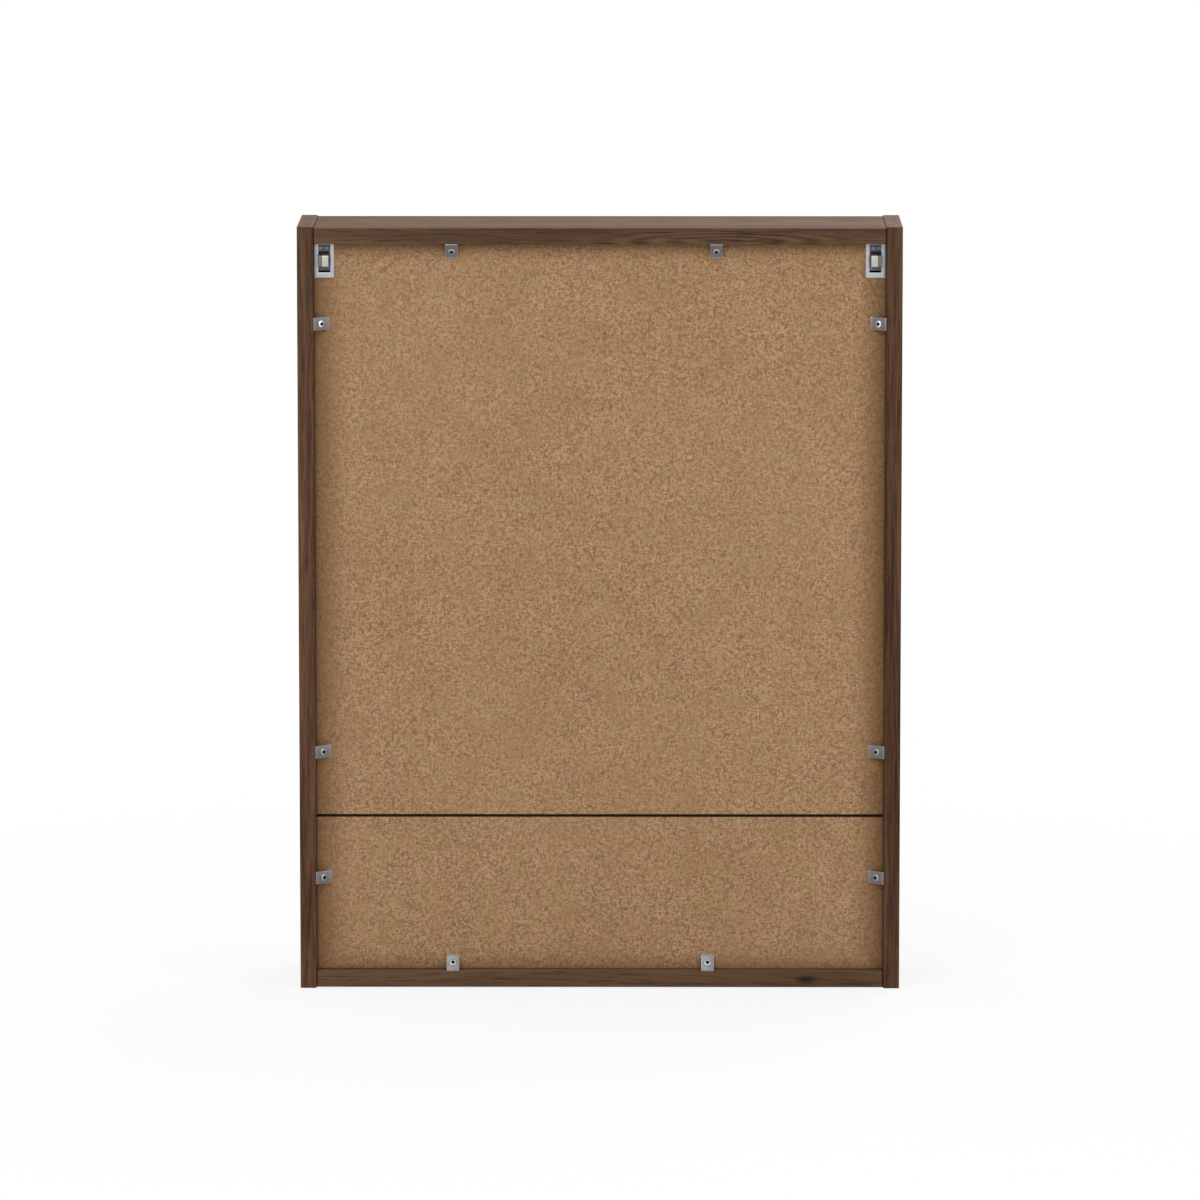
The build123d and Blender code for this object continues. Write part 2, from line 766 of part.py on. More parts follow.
nodes["wood_dowels"] = both_sides([dowel(y, z) for z in dowel_heights.values() for y in dowel_rows])
nodes["lower_glass_shelf"] = glass_shelf(shelf_heights[0])
nodes["upper_glass_shelf"] = glass_shelf(shelf_heights[1])
nodes["shelf_pins"] = both_sides([shelf_pin(y, z) for y, z in shelf_pin_places])
nodes["hinge_mounting_plates"] = both_sides([mounting_plate(z) for z in hinge_heights])
nodes["hinge_plate_screws"] = both_sides([screw for z in hinge_heights for screw in plate_screws(z)])
nodes["hinge_arms"] = both_sides([hinge_arm(z) for z in hinge_heights])
nodes["hinge_arm_screws"] = both_sides([screw for z in hinge_heights for screw in arm_screws(z)])

# Pieces that each door and each hanger has its own copy of
handed = {
    "door_panel": [door_panel()],
    "door_mirror": [door_mirror()],
    "door_bumpers": door_bumpers(),
    "hinge_cups": [hinge_cup(z) for z in hinge_heights],
    "hinge_pins": [hinge_pin(z) for z in hinge_heights],
    "hinge_cup_screws": [screw for z in hinge_heights for screw in cup_screws(z)],
    "hanger_housing": [hanger_housing()],
    "hanger_face_plate": [hanger_face_plate()],
    "hanger_slider": [hanger_slider()],
    "hanger_hook": [hanger_hook()],
    "hanger_height_screw": [height_screw()],
    "hanger_depth_screw": [depth_screw()],
}
for name, shapes in handed.items():
    nodes["right_" + name] = group(shapes)
    nodes["left_" + name] = group([to_left(shape) for shape in shapes])

os.makedirs("parts", exist_ok=True)
for name, shape in nodes.items():
    export_step(shape, "parts/" + name + ".step")
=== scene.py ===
import math

import bmesh
import bpy
from mathutils import Matrix, Vector


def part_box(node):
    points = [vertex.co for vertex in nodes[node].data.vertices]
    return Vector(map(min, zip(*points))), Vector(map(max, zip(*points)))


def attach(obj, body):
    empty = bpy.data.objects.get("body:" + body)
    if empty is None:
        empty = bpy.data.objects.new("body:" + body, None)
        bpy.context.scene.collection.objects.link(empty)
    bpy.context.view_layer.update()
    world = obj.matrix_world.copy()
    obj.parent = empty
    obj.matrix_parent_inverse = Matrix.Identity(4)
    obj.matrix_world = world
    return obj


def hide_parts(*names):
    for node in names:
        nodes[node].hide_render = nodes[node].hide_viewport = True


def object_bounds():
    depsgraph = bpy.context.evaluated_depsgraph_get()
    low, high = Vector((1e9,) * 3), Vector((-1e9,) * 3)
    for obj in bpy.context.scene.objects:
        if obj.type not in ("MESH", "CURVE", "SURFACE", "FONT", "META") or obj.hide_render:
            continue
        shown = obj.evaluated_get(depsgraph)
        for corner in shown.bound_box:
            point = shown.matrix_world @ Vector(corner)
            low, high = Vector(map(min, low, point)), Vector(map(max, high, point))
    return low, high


# Mirror cabinet, seen from behind. Metres; -Y is the side with the mirror doors, +Y the wall side.
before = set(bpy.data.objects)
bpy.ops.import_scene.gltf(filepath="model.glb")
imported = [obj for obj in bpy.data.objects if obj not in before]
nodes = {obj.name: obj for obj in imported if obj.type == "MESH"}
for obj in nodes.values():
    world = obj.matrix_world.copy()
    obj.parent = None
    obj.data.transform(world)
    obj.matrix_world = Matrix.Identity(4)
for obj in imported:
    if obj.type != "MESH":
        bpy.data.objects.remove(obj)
cad_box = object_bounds()

MM = 0.001
sides = (("right", 1), ("left", -1))

# Faces of the carcass that the small pieces sit on, read from the frame
x_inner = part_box("right_side")[0].x
y_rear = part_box("right_side")[1].y
y_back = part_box("back_panel_upper")[1].y
z_top_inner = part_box("top_panel")[0].z
z_bottom_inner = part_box("bottom_panel")[1].z
cabinet_middle = (cad_box[0] + cad_box[1]) / 2


# A shape is its corner points in metres, its faces, and for each face which finish it takes
def in_mm(pairs):
    return [(MM * first, MM * second) for first, second in pairs]


def rounded_outline(width, height, radius, steps=5):
    """A rectangle about the origin with its corners rounded."""
    points = []
    for corner in range(4):
        turn = math.pi / 2 * corner
        centre_x = (width / 2 - radius) * (1 if corner in (0, 3) else -1)
        centre_y = (height / 2 - radius) * (1 if corner in (0, 1) else -1)
        for step in range(steps + 1):
            angle = turn + math.pi / 2 * step / steps
            points.append((centre_x + radius * math.cos(angle), centre_y + radius * math.sin(angle)))
    return points


def circle_outline(radius, count=24, centre=(0.0, 0.0)):
    turns = [2 * math.pi * step / count for step in range(count)]
    return [(centre[0] + radius * math.cos(t), centre[1] + radius * math.sin(t)) for t in turns]


def moved_outline(outline, x, y):
    return [(x + px, y + py) for px, py in outline]


def from_bmesh(bm):
    bm.verts.index_update()
    points = [vert.co.copy() for vert in bm.verts]
    faces = [[vert.index for vert in face.verts] for face in bm.faces]
    marks = [face.material_index for face in bm.faces]
    bm.free()
    return points, faces, marks


def to_bmesh(shape):
    bm = bmesh.new()
    points, faces, marks = shape
    verts = [bm.verts.new(point) for point in points]
    for face, mark in zip(faces, marks):
        bm.faces.new([verts[index] for index in face]).material_index = mark
    return bm


def prism(thickness, outer, *holes):
    """An outline with holes, raised from z = 0 by a thickness."""
    bm = bmesh.new()
    for outline in (outer, *holes):
        ring = [bm.verts.new((x, y, 0)) for x, y in outline]
        for index, vert in enumerate(ring):
            bm.edges.new((ring[index - 1], vert))
    bmesh.ops.triangle_fill(bm, use_beauty=True, use_dissolve=False, edges=bm.edges[:])
    raised = bmesh.ops.extrude_face_region(bm, geom=bm.faces[:])["geom"]
    upper = [item for item in raised if isinstance(item, bmesh.types.BMVert)]
    bmesh.ops.translate(bm, verts=upper, vec=(0, 0, thickness))
    bmesh.ops.recalc_face_normals(bm, faces=bm.faces[:])
    return from_bmesh(bm)


def turned(profile, count=32, ring=False):
    """A profile of (radius, z) turned about Z. A radius of 0 closes an end, a ring closes on itself."""
    points, rings = [], []
    for radius, z in profile:
        if radius == 0:
            rings.append([len(points)] * count)
            points.append(Vector((0, 0, z)))
        else:
            rings.append(list(range(len(points), len(points) + count)))
            points += [Vector((x, y, z)) for x, y in circle_outline(radius, count)]
    faces = []
    for low, high in zip(rings, rings[1:] + rings[:1] if ring else rings[1:]):
        for step in range(count):
            after = (step + 1) % count
            corners = [low[step], low[after], high[after], high[step]]
            faces.append(list(dict.fromkeys(corners)))
    return points, faces, [0] * len(faces)


def softened(shape, width, segments=2, angle=30, mark=-1):
    """The shape with its sharp edges rounded, and the roundings given a mark of their own."""
    bm = to_bmesh(shape)
    bmesh.ops.recalc_face_normals(bm, faces=bm.faces[:])
    limit = math.radians(angle)
    sharp = [edge for edge in bm.edges if edge.is_manifold and edge.calc_face_angle() > limit]
    bmesh.ops.bevel(
        bm,
        geom=sharp,
        offset=width,
        segments=segments,
        profile=0.5,
        affect="EDGES",
        clamp_overlap=True,
        material=mark,
    )
    return from_bmesh(bm)


def placed(shape, matrix):
    return [matrix @ point for point in shape[0]], shape[1], shape[2]


def moved(shape, x, y, z):
    return placed(shape, Matrix.Translation((x, y, z)))


def marked(shape, mark):
    return shape[0], shape[1], [mark] * len(shape[1])


def joined(shapes):
    points, faces, marks = [], [], []
    for shape in shapes:
        start = len(points)
        points += shape[0]
        faces += [[start + index for index in face] for face in shape[1]]
        marks += shape[2]
    return points, faces, marks


def axes_at(origin, x_axis, y_axis):
    """The place whose X and Y run along two given directions."""
    x_axis, y_axis = Vector(x_axis).normalized(), Vector(y_axis).normalized()
    columns = Matrix((x_axis, y_axis, x_axis.cross(y_axis))).transposed().to_4x4()
    return Matrix.Translation(Vector(origin)) @ columns


def mirrored(sign):
    return Matrix.Diagonal((sign, 1, 1, 1))


def solid_boxes(node):
    """Lowest and highest corner of each separate solid of a CAD node."""
    bm = bmesh.new()
    bm.from_mesh(nodes[node].data)
    bmesh.ops.remove_doubles(bm, verts=bm.verts[:], dist=0.001 * MM)
    left, boxes = set(bm.verts), []
    for start in bm.verts:
        if start not in left:
            continue
        island, queue = [], [start]
        left.discard(start)
        while queue:
            vert = queue.pop()
            island.append(vert.co.copy())
            for edge in vert.link_edges:
                other = edge.other_vert(vert)
                if other in left:
                    left.discard(other)
                    queue.append(other)
        low = Vector([min(point[axis] for point in island) for axis in range(3)])
        high = Vector([max(point[axis] for point in island) for axis in range(3)])
        boxes.append((low, high))
    bm.free()
    return boxes


def add_piece(name, shape, body, finishes, replaces, smooth_angle=40):
    """One piece of the cabinet: its mesh, its finishes, and the body that it rides on."""
    bm = to_bmesh(shape)
    bmesh.ops.recalc_face_normals(bm, faces=bm.faces[:])
    mesh = bpy.data.meshes.new(name)
    bm.to_mesh(mesh)
    bm.free()
    mesh.shade_smooth()
    mesh.set_sharp_from_angle(angle=math.radians(smooth_angle))
    piece = bpy.data.objects.new(name, mesh)
    bpy.context.scene.collection.objects.link(piece)
    for finish in finishes:
        mesh.materials.append(finish)
    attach(piece, body)
    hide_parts(replaces)


# Finishes
class Value:
    """What one socket gives, with the sums that a finish needs."""

    def __init__(self, finish, socket):
        self.finish = finish
        self.socket = socket

    def sum_with(self, operation, *terms):
        return self.finish.node("ShaderNodeMath", {"operation": operation}, dict(enumerate(terms)))

    def __add__(self, other):
        return self.sum_with("ADD", self, other)

    def __mul__(self, other):
        return self.sum_with("MULTIPLY", self, other)

    def __sub__(self, other):
        return self.sum_with("SUBTRACT", self, other)

    def __rsub__(self, other):
        return self.sum_with("SUBTRACT", other, self)

    def __abs__(self):
        return self.sum_with("ABSOLUTE", self)

    def sine(self):
        return self.sum_with("SINE", self)

    def least(self, other):
        return self.sum_with("MINIMUM", self, other)

    def most(self, other):
        return self.sum_with("MAXIMUM", self, other)

    def ramp(self, low, high):
        """0 at and below low, 1 at and above high, smooth between."""
        return self.finish.node(
            "ShaderNodeMapRange",
            {"interpolation_type": "SMOOTHSTEP"},
            {"Value": self, "From Min": low, "From Max": high},
        )


class Shading:
    """A node tree and the nodes added to it."""

    def __init__(self, tree):
        self.tree = tree

    def node(self, kind, settings=None, inputs=None, output=0):
        made = self.tree.nodes.new(kind)
        for key, value in (settings or {}).items():
            setattr(made, key, value)
        for key, value in (inputs or {}).items():
            if isinstance(value, Value):
                self.tree.links.new(value.socket, made.inputs[key])
            else:
                made.inputs[key].default_value = value
        return Value(self, made.outputs[output])

    def looked_at(self):
        """1 for what the camera, a reflection or glass shows, 0 for the light on a surface."""
        rays = [
            self.node("ShaderNodeLightPath", output="Is " + kind + " Ray")
            for kind in ("Camera", "Glossy", "Transmission")
        ]
        return rays[0].most(rays[1]).most(rays[2])


class Finish(Shading):
    """A material whose Principled shader is fed by nodes."""

    def __init__(self, name, **fixed):
        self.material = bpy.data.materials.new(name)
        self.material.use_nodes = True
        super().__init__(self.material.node_tree)
        self.shader = self.tree.nodes["Principled BSDF"]
        for socket, value in fixed.items():
            self.shader.inputs[socket.replace("_", " ")].default_value = value
        self.place = self.node("ShaderNodeTexCoord", output="Object")

    def axis(self, letter):
        return self.node("ShaderNodeSeparateXYZ", None, {0: self.place}, output=letter)

    def vector(self, operation, first, second=(0.0, 0.0, 0.0), output=0):
        return self.node("ShaderNodeVectorMath", {"operation": operation}, {0: first, 1: second}, output)

    def stretched(self, scale):
        return self.vector("MULTIPLY", self.place, scale)

    def distance_from(self, point, scale):
        offset = self.vector("SUBTRACT", self.place, point)
        return self.vector("LENGTH", self.vector("MULTIPLY", offset, scale), output="Value")

    def noise(self, vector, scale, detail=2.0, roughness=0.5, distortion=0.0):
        inputs = {
            "Vector": vector,
            "Scale": scale,
            "Detail": detail,
            "Roughness": roughness,
            "Distortion": distortion,
        }
        return self.node("ShaderNodeTexNoise", None, inputs)

    def mixed(self, amount, first, second):
        return self.node("ShaderNodeMix", {"data_type": "RGBA"}, {0: amount, 6: first, 7: second}, output=2)

    def feed(self, socket, value):
        self.tree.links.new(value.socket, self.shader.inputs[socket])

    def colour(self, value):
        self.feed("Base Color", value)

    def bump(self, height, distance, strength):
        inputs = {"Height": height, "Distance": distance, "Strength": strength}
        self.feed("Normal", self.node("ShaderNodeBump", None, inputs))


def tint(red, green, blue):
    """A colour given as it looks on a screen, 0 to 255."""
    linear = []
    for level in (red, green, blue):
        share = level / 255
        linear.append(share / 12.92 if share <= 0.04045 else ((share + 0.055) / 1.055) ** 2.4)
    return (*linear, 1.0)


walnut_tones = (tint(64, 44, 32), tint(122, 90, 69))
left_walnut_tones = (tint(57, 39, 28), tint(110, 80, 61))
top_tones = (tint(58, 38, 24), tint(112, 80, 56))
dark_edge_tones = (tint(60, 42, 31), tint(104, 80, 61))
beech_tones = (tint(196, 158, 112), tint(222, 188, 144))
# Near black: painted shade in the seams where boards meet and in the gap between the back panels
painted_seam_shade = tint(14, 8, 5)

# How deep under a face its own colour reaches: all of it, then none
skin_full, skin_none = 0.3 * MM, 0.36 * MM


def wood(
    name, grain, shift, tones, rear_tones=None, knots=(), flames=(), seam_at=None, band_scale=60.0, ends=None
):
    """Printed wood on a melamine face: bands, fibres, pores and flames along the grain axis."""
    finish = Finish("wood_" + name, Specular_IOR_Level=0.05)

    def along(share):
        return [share if axis == grain else 1.0 for axis in "XYZ"]

    def grown(share):
        """Places drawn out along the grain, or along Y on the edging of an upright board's ends."""
        scale = along(share)
        if ends:
            z = finish.axis("Z")
            on_end = 1 - (z - ends[0]).least(ends[1] - z).ramp(skin_full, skin_none)
            parts = {0: 1.0, 1: 1 - on_end * (1 - share), 2: share}
            scale = finish.node("ShaderNodeCombineXYZ", None, parts)
        return finish.vector("ADD", finish.stretched(scale), shift)

    wander = finish.noise(grown(0.055), 9.0)
    bands = finish.noise(grown(0.05), band_scale, detail=4.0, roughness=0.6, distortion=1.0)
    fibres = finish.noise(grown(0.035), 520.0, detail=3.0, roughness=0.7)
    pores = finish.noise(grown(0.03), 1100.0, detail=1.0).ramp(0.56, 0.70)
    shade = (wander * 0.4 + bands * 0.6).ramp(0.36, 0.66)
    for point, reach, spacing in flames:
        distance = finish.distance_from(point, along(0.085)) + bands * 0.6 * spacing
        rings = (distance * (2 * math.pi / spacing)).sine() * 0.5 + 0.5
        near = 1 - distance.ramp(0.55 * reach, reach)
        shade = shade * (1 - near * 0.8) + rings * near * 0.8
    dark, light = tones
    if rear_tones:
        on_rear = finish.axis("Y").ramp(y_rear - skin_none, y_rear - skin_full)
        dark, light = [finish.mixed(on_rear, face, rear) for face, rear in zip(tones, rear_tones)]
    body = finish.mixed(shade, dark, light)
    body = finish.mixed(fibres.ramp(0.4, 0.65) * 0.45, body, light)
    body = finish.mixed(finish.noise(grown(0.04), 170.0).ramp(0.5, 0.7) * 0.3, body, tint(112, 66, 50))
    body = finish.mixed(finish.noise(grown(0.04), 210.0).ramp(0.52, 0.7) * 0.3, body, tint(84, 72, 46))
    body = finish.mixed(pores * 0.6, body, tint(42, 28, 21))
    for point, reach in knots:
        away = finish.distance_from(point, (0.6, 1.0, 1.5)) + fibres * 0.4 * reach
        eye = 1 - away.ramp(0.3 * reach, reach)
        body = finish.mixed(eye * 0.9, body, tint(38, 27, 21))
    # Painted shade: a near-black line along the panel's ends, where they meet the side boards
    if seam_at:
        seam = abs(finish.axis("X")).ramp(seam_at - 1.6 * MM, seam_at - 0.6 * MM)
        body = finish.mixed(seam * 0.95, body, painted_seam_shade)
    finish.colour(body)
    finish.feed("Roughness", fibres * 0.14 + 0.48)
    finish.bump(fibres * 0.4 - pores, 0.03 * MM, 0.5)
    return finish.material


def hardboard(name, low, high, split):
    """Bare hardboard: felted fibres, soft blotches, few flecks, with painted shade along its sides and ends,
    where it meets the carcass and beside the gap between the panels.
    """
    finish = Finish("hardboard_" + name, Roughness=0.85, Specular_IOR_Level=0.15)
    x, z = finish.axis("X"), finish.axis("Z")
    lying = finish.noise(finish.stretched((0.45, 1.0, 1.0)), 520.0, detail=2.0, roughness=0.7)
    upright = finish.noise(finish.stretched((1.0, 1.0, 0.45)), 520.0, detail=2.0, roughness=0.7)
    fibres = lying * 0.5 + upright * 0.5
    speckle = finish.noise(finish.place, 300.0, detail=5.0, roughness=0.75, distortion=0.4)
    grit = finish.noise(finish.stretched((1.0, 1.0, 1.1)), 330.0, detail=5.0, roughness=0.75, distortion=0.4)
    rosy = finish.noise(finish.stretched((1.0, 1.0, 1.2)), 34.0, detail=3.0, roughness=0.6)
    olive = finish.noise(finish.stretched((1.2, 1.0, 1.0)), 41.0, detail=3.0, roughness=0.6)
    blotch = finish.noise(finish.place, 24.0, detail=4.0, roughness=0.6)
    cloud = finish.noise(finish.place, 4.0, detail=1.0)
    base = finish.mixed(fibres.ramp(0.40, 0.60), tint(134, 101, 70), tint(180, 146, 111))
    base = finish.mixed(speckle.ramp(0.50, 0.66) * 0.62, base, tint(112, 80, 52))
    base = finish.mixed(grit.ramp(0.50, 0.66) * 0.66, base, tint(200, 166, 130))
    base = finish.mixed(rosy.ramp(0.48, 0.68) * 0.3, base, tint(166, 119, 90))
    base = finish.mixed(olive.ramp(0.48, 0.68) * 0.3, base, tint(156, 131, 86))
    base = finish.mixed(blotch.ramp(0.4, 0.7) * 0.24, base, tint(141, 108, 73))
    base = finish.mixed(cloud.ramp(0.3, 0.7) * 0.18, base, tint(168, 136, 100))
    flecks = finish.noise(finish.place, 210.0, detail=0.0).ramp(0.80, 0.82)
    base = finish.mixed(flecks * 0.5, base, tint(84, 60, 40))
    beside, ends = x_inner - abs(x), (high - z).least(z - low)
    edge = beside.least(ends)
    # Painted shade: warm darker bands along the sides and, starting further in, along the ends
    painted_side_shade = 1 - (beside.least(ends + 14 * MM) + blotch * 10 * MM).ramp(10 * MM, 42 * MM)
    base = finish.mixed(painted_side_shade * 0.62, base, tint(114, 80, 49))
    # Painted shade: a darker gradient within a few millimetres of every edge
    base = finish.mixed((1 - edge.ramp(0.2 * MM, 4 * MM)) * 0.2, base, tint(62, 43, 27))
    # Painted shade: near black at the rim, where the panel meets the carcass
    base = finish.mixed((1 - edge.ramp(0.3 * MM, 1.3 * MM)) * 0.7, base, painted_seam_shade)
    # Painted shade: near black on both sides of the gap between the two back panels
    base = finish.mixed((1 - abs(z - split).ramp(1.3 * MM, 1.7 * MM)) * 0.95, base, painted_seam_shade)
    finish.colour(base)
    finish.bump(fibres + grit * 0.6, 0.10 * MM, 0.5)
    return finish.material


def metal(name, level, rough, scratch, tone=(1.0, 1.0, 1.0)):
    """Plated or stamped steel: slight mottle, fine rubbing marks."""
    finish = Finish(name, Metallic=1.0)
    mottle = finish.noise(finish.place, 900.0, detail=3.0)
    rubbed = finish.noise(finish.stretched((1.0, 0.06, 1.0)), 5200.0, detail=1.0)
    low = [level * part * 0.86 for part in tone] + [1.0]
    high = [min(level * part * 1.1, 1.0) for part in tone] + [1.0]
    finish.colour(finish.mixed(mottle.ramp(0.3, 0.7), low, high))
    finish.feed("Roughness", mottle * 0.14 + (rough - 0.07))
    finish.bump(rubbed, 0.006 * MM, scratch)
    return finish.material


def moulded(name, colour, rough):
    """Moulded plastic: fine spark-eroded grain."""
    finish = Finish(name)
    grain = finish.noise(finish.place, 2600.0, detail=2.0)
    tone = finish.noise(finish.place, 60.0, detail=2.0)
    lighter = [min(part * 1.35, 1.0) for part in colour[:3]] + [1.0]
    finish.colour(finish.mixed(tone.ramp(0.3, 0.7), colour, lighter))
    finish.feed("Roughness", grain * 0.1 + (rough - 0.05))
    finish.bump(grain, 0.02 * MM, 0.5)
    return finish.material


zinc = metal("zinc_sheet", 0.45, 0.4, 0.25, (0.97, 1.0, 1.06))
clip_zinc = metal("clip_zinc", 0.19, 0.5, 0.25, (1.03, 1.0, 0.99))
# Painted highlight: a brighter zinc for the rounded edges of the clips
edge_painted_highlight = metal("zinc_edge_painted_highlight", 0.38, 0.35, 0.2)
screw_zinc = metal("screw_zinc", 0.86, 0.3, 0.2)
# Painted shade: a darker copy of the screw steel, for the clip screws other than the upper side ones
shaded_screw_zinc = metal("screw_zinc_painted_shade", 0.42, 0.45, 0.2)
# Painted shade: a near-black metal for the cross recesses of the screw heads
recess_painted_shade = metal("recess_painted_shade", 0.02, 0.7, 0.2)
hook_zinc = metal("hook_zinc", 0.44, 0.45, 0.2, (1.04, 1.0, 0.88))
# Painted shade: a darker zinc for the hook's stepped outer third
step_painted_shade = metal("hook_step_painted_shade", 0.17, 0.6, 0.3, (1.03, 1.0, 0.82))
nickel = metal("nickel_plate", 0.70, 0.32, 0.1, (1.02, 1.0, 0.96))
# Painted shade: a dark steel for the screw shanks
shank_painted_shade = metal("shank_painted_shade", 0.10, 0.55, 0.2)
dark_plastic = moulded("dark_plastic", tint(46, 46, 48), 0.45)
slider_plastic = moulded("slider_plastic", tint(86, 89, 95), 0.5)
worn_plastic = moulded("worn_plastic", tint(138, 140, 142), 0.4)
silicone = moulded("bumper_silicone", tint(205, 206, 203), 0.35)


def mirror_finish():
    """Silvered glass: a clear coat over a faintly mottled silver face."""
    finish = Finish("mirror_silver", Metallic=1.0, Coat_Weight=0.3, Coat_Roughness=0.0)
    haze = finish.noise(finish.place, 6.0, detail=3.0)
    finish.colour(finish.mixed(haze, tint(200, 210, 207), tint(210, 218, 216)))
    finish.feed("Roughness", haze * 0.012 + 0.004)
    return finish.material


def shelf_glass_finish(node):
    """Float glass, greener towards its edges."""
    low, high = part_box(node)
    finish = Finish("shelf_glass", IOR=1.52, Transmission_Weight=1.0)
    x, y = finish.axis("X"), finish.axis("Y")
    edge = (high.x - abs(x)).least(high.y - y).least(y - low.y)
    rim = 1 - edge.ramp(0.0, 3 * MM)
    finish.colour(finish.mixed(rim, tint(246, 251, 249), tint(120, 190, 165)))
    finish.feed("Roughness", rim * 0.15 + 0.01)
    return finish.material


# CAD nodes whose shape is right keep it and take a finish
def dress(node, material):
    nodes[node].data.materials.clear()
    nodes[node].data.materials.append(material)


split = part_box("back_panel_lower")[1].z / 2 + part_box("back_panel_upper")[0].z / 2
z_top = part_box("top_panel")[1].z
x_outer = cad_box[1].x
for side, sign in sides:
    swirl = ((sign * x_outer, -8 * MM, 430 * MM), 60 * MM, 9 * MM)
    shift = (0.31 * sign, 0.12, 0.05)
    tones = walnut_tones if sign > 0 else left_walnut_tones
    dress(side + "_side", wood(side + "_side", "Z", shift, tones, flames=[swirl], ends=(0.0, cad_box[1].z)))
    ends = [corner.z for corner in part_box(side + "_door_panel")]
    shift = (0.4 * sign, 0.3, 0.2)
    dress(side + "_door_panel", wood(side + "_door", "Z", shift, walnut_tones, ends=ends))
    dress(side + "_door_mirror", mirror_finish())
    dress(side + "_hanger_housing", dark_plastic)
swirls = [((-124 * MM, y_rear, z_top - 13 * MM), 15 * MM, 3 * MM), ((60 * MM, 0.0, z_top), 45 * MM, 8 * MM)]
panel_wood = wood("top_panel", "X", (0.2, 0.7, 0.3), top_tones, dark_edge_tones, (), swirls, x_inner, 34.0)
dress("top_panel", panel_wood)
knots = [((-207 * MM, y_rear, 9 * MM), 12 * MM)]
panel_wood = wood("bottom_panel", "X", (0.5, 0.2, 0.9), walnut_tones, dark_edge_tones, knots, (), x_inner)
dress("bottom_panel", panel_wood)
dress("fixed_shelf", wood("fixed_shelf", "X", (0.9, 0.6, 0.1), walnut_tones))
dress("back_panel_upper", hardboard("upper", split - 80 * MM, z_top_inner, split))
dress("back_panel_lower", hardboard("lower", z_bottom_inner, split + 80 * MM, split))
for node in ("lower_glass_shelf", "upper_glass_shelf"):
    dress(node, shelf_glass_finish(node))
dress("wood_dowels", wood("dowels", "X", (0.0, 0.0, 0.0), beech_tones))

# Screws: domed head with a cross recess, threaded shank
# The recess and the shank take finishes of painted shade
recess_reach, recess_width = 0.60, 0.30  # shares of the head's radius
recess_floor, recess_depth = 0.45, 0.75  # shares of the recess's outline and of the head's height
dome_fall = 0.35  # share of the head's height that its dome loses at the rim
thread_root, thread_flank = 0.72, 0.3  # shares of the shank's radius and of the pitch
shank_end = 0.94  # share of the length at which the point begins
head_mark, recess_mark, shank_mark, shaded_head_mark = range(4)


def recess_radius(angle):
    """Distance from the axis to the edge of the cross, for a head of radius 1."""
    across, up = abs(math.cos(angle)) + 1e-9, abs(math.sin(angle)) + 1e-9
    flat_bar = min(recess_reach / across, recess_width / up)
    upright_bar = min(recess_width / across, recess_reach / up)
    return max(flat_bar, upright_bar)


def screw(head_radius, head_height, shank_radius, length, pitch):
    """A screw that stands on z = 0 with its shank along -Z."""
    bend = math.atan(recess_width / recess_reach)
    between = 0.5 * (bend + math.pi / 4)
    turns = []
    for quarter in range(4):
        turns += [quarter * math.pi / 2 + part for part in (0.0, bend, between, math.pi / 4)]
        turns += [(quarter + 1) * math.pi / 2 - part for part in (between, bend)]
    z_floor = head_height * (1 - recess_depth)
    rings = [[(recess_radius(t) * recess_floor, z_floor, t) for t in turns]]
    for share in (0.0, 0.35, 0.7, 0.9):
        ring = []
        for t in turns:
            radius = recess_radius(t) + (1 - recess_radius(t)) * share
            ring.append((radius, head_height * (1 - dome_fall * radius ** 3), t))
        rings.append(ring)
    for radius, share in ((1.0, 0.5), (1.0, 0.1), (0.96, 0.0)):
        rings.append([(radius, head_height * share, t) for t in turns])
    points, faces, marks = [], [], []
    for ring in rings:
        for radius, z, t in ring:
            x, y = radius * head_radius * math.cos(t), radius * head_radius * math.sin(t)
            points.append(Vector((x, y, z)))
    count = len(turns)
    head_rings = len(rings)
    root = shank_radius * thread_root
    shank = [(shank_radius, 0.0)]
    for thread in range(1, int(length / pitch)):
        z = -pitch * thread
        shank += [(root, z + thread_flank * pitch), (shank_radius, z)]
    shank.append((root, -length * shank_end))
    for radius, z in shank:
        points += [Vector((radius * math.cos(t), radius * math.sin(t), z)) for t in turns]
    total_rings = len(points) // count
    for ring in range(total_rings - 1):
        for step in range(count):
            after = (step + 1) % count
            first, second = ring * count, (ring + 1) * count
            faces.append([first + step, first + after, second + after, second + step])
            marks.append(recess_mark if ring == 0 else head_mark if ring < head_rings else shank_mark)
    points += [Vector((0, 0, z_floor)), Vector((0, 0, -length))]
    for step in range(count):
        after = (step + 1) % count
        faces.append([after, step, len(points) - 2])
        last = (total_rings - 1) * count
        faces.append([last + step, last + after, len(points) - 1])
        marks += [recess_mark, shank_mark]
    return points, faces, marks


# Back panel clips: a plate across the corner, between the carcass and the back panel
clip_thickness = 1.2 * MM
clip_foot_flat = 1.8 * MM
clip_rise_flat = 1.2 * MM
clip_bend_radius = 1.6 * MM
clip_rounding = 0.35 * MM
clip_collar = in_mm([(4.2, -0.3), (4.1, 0.25), (3.7, 0.4), (2.2, 0.4), (2.2, -0.3)])
clip_screw_head, clip_screw_head_height = 3.4 * MM, 1.5 * MM
clip_screw_shank, clip_screw_length, clip_screw_pitch = 1.7 * MM, 17.0 * MM, 1.4 * MM
panel_reach = 30 * MM  # a clip nearer than this to the top or bottom panel is screwed to it


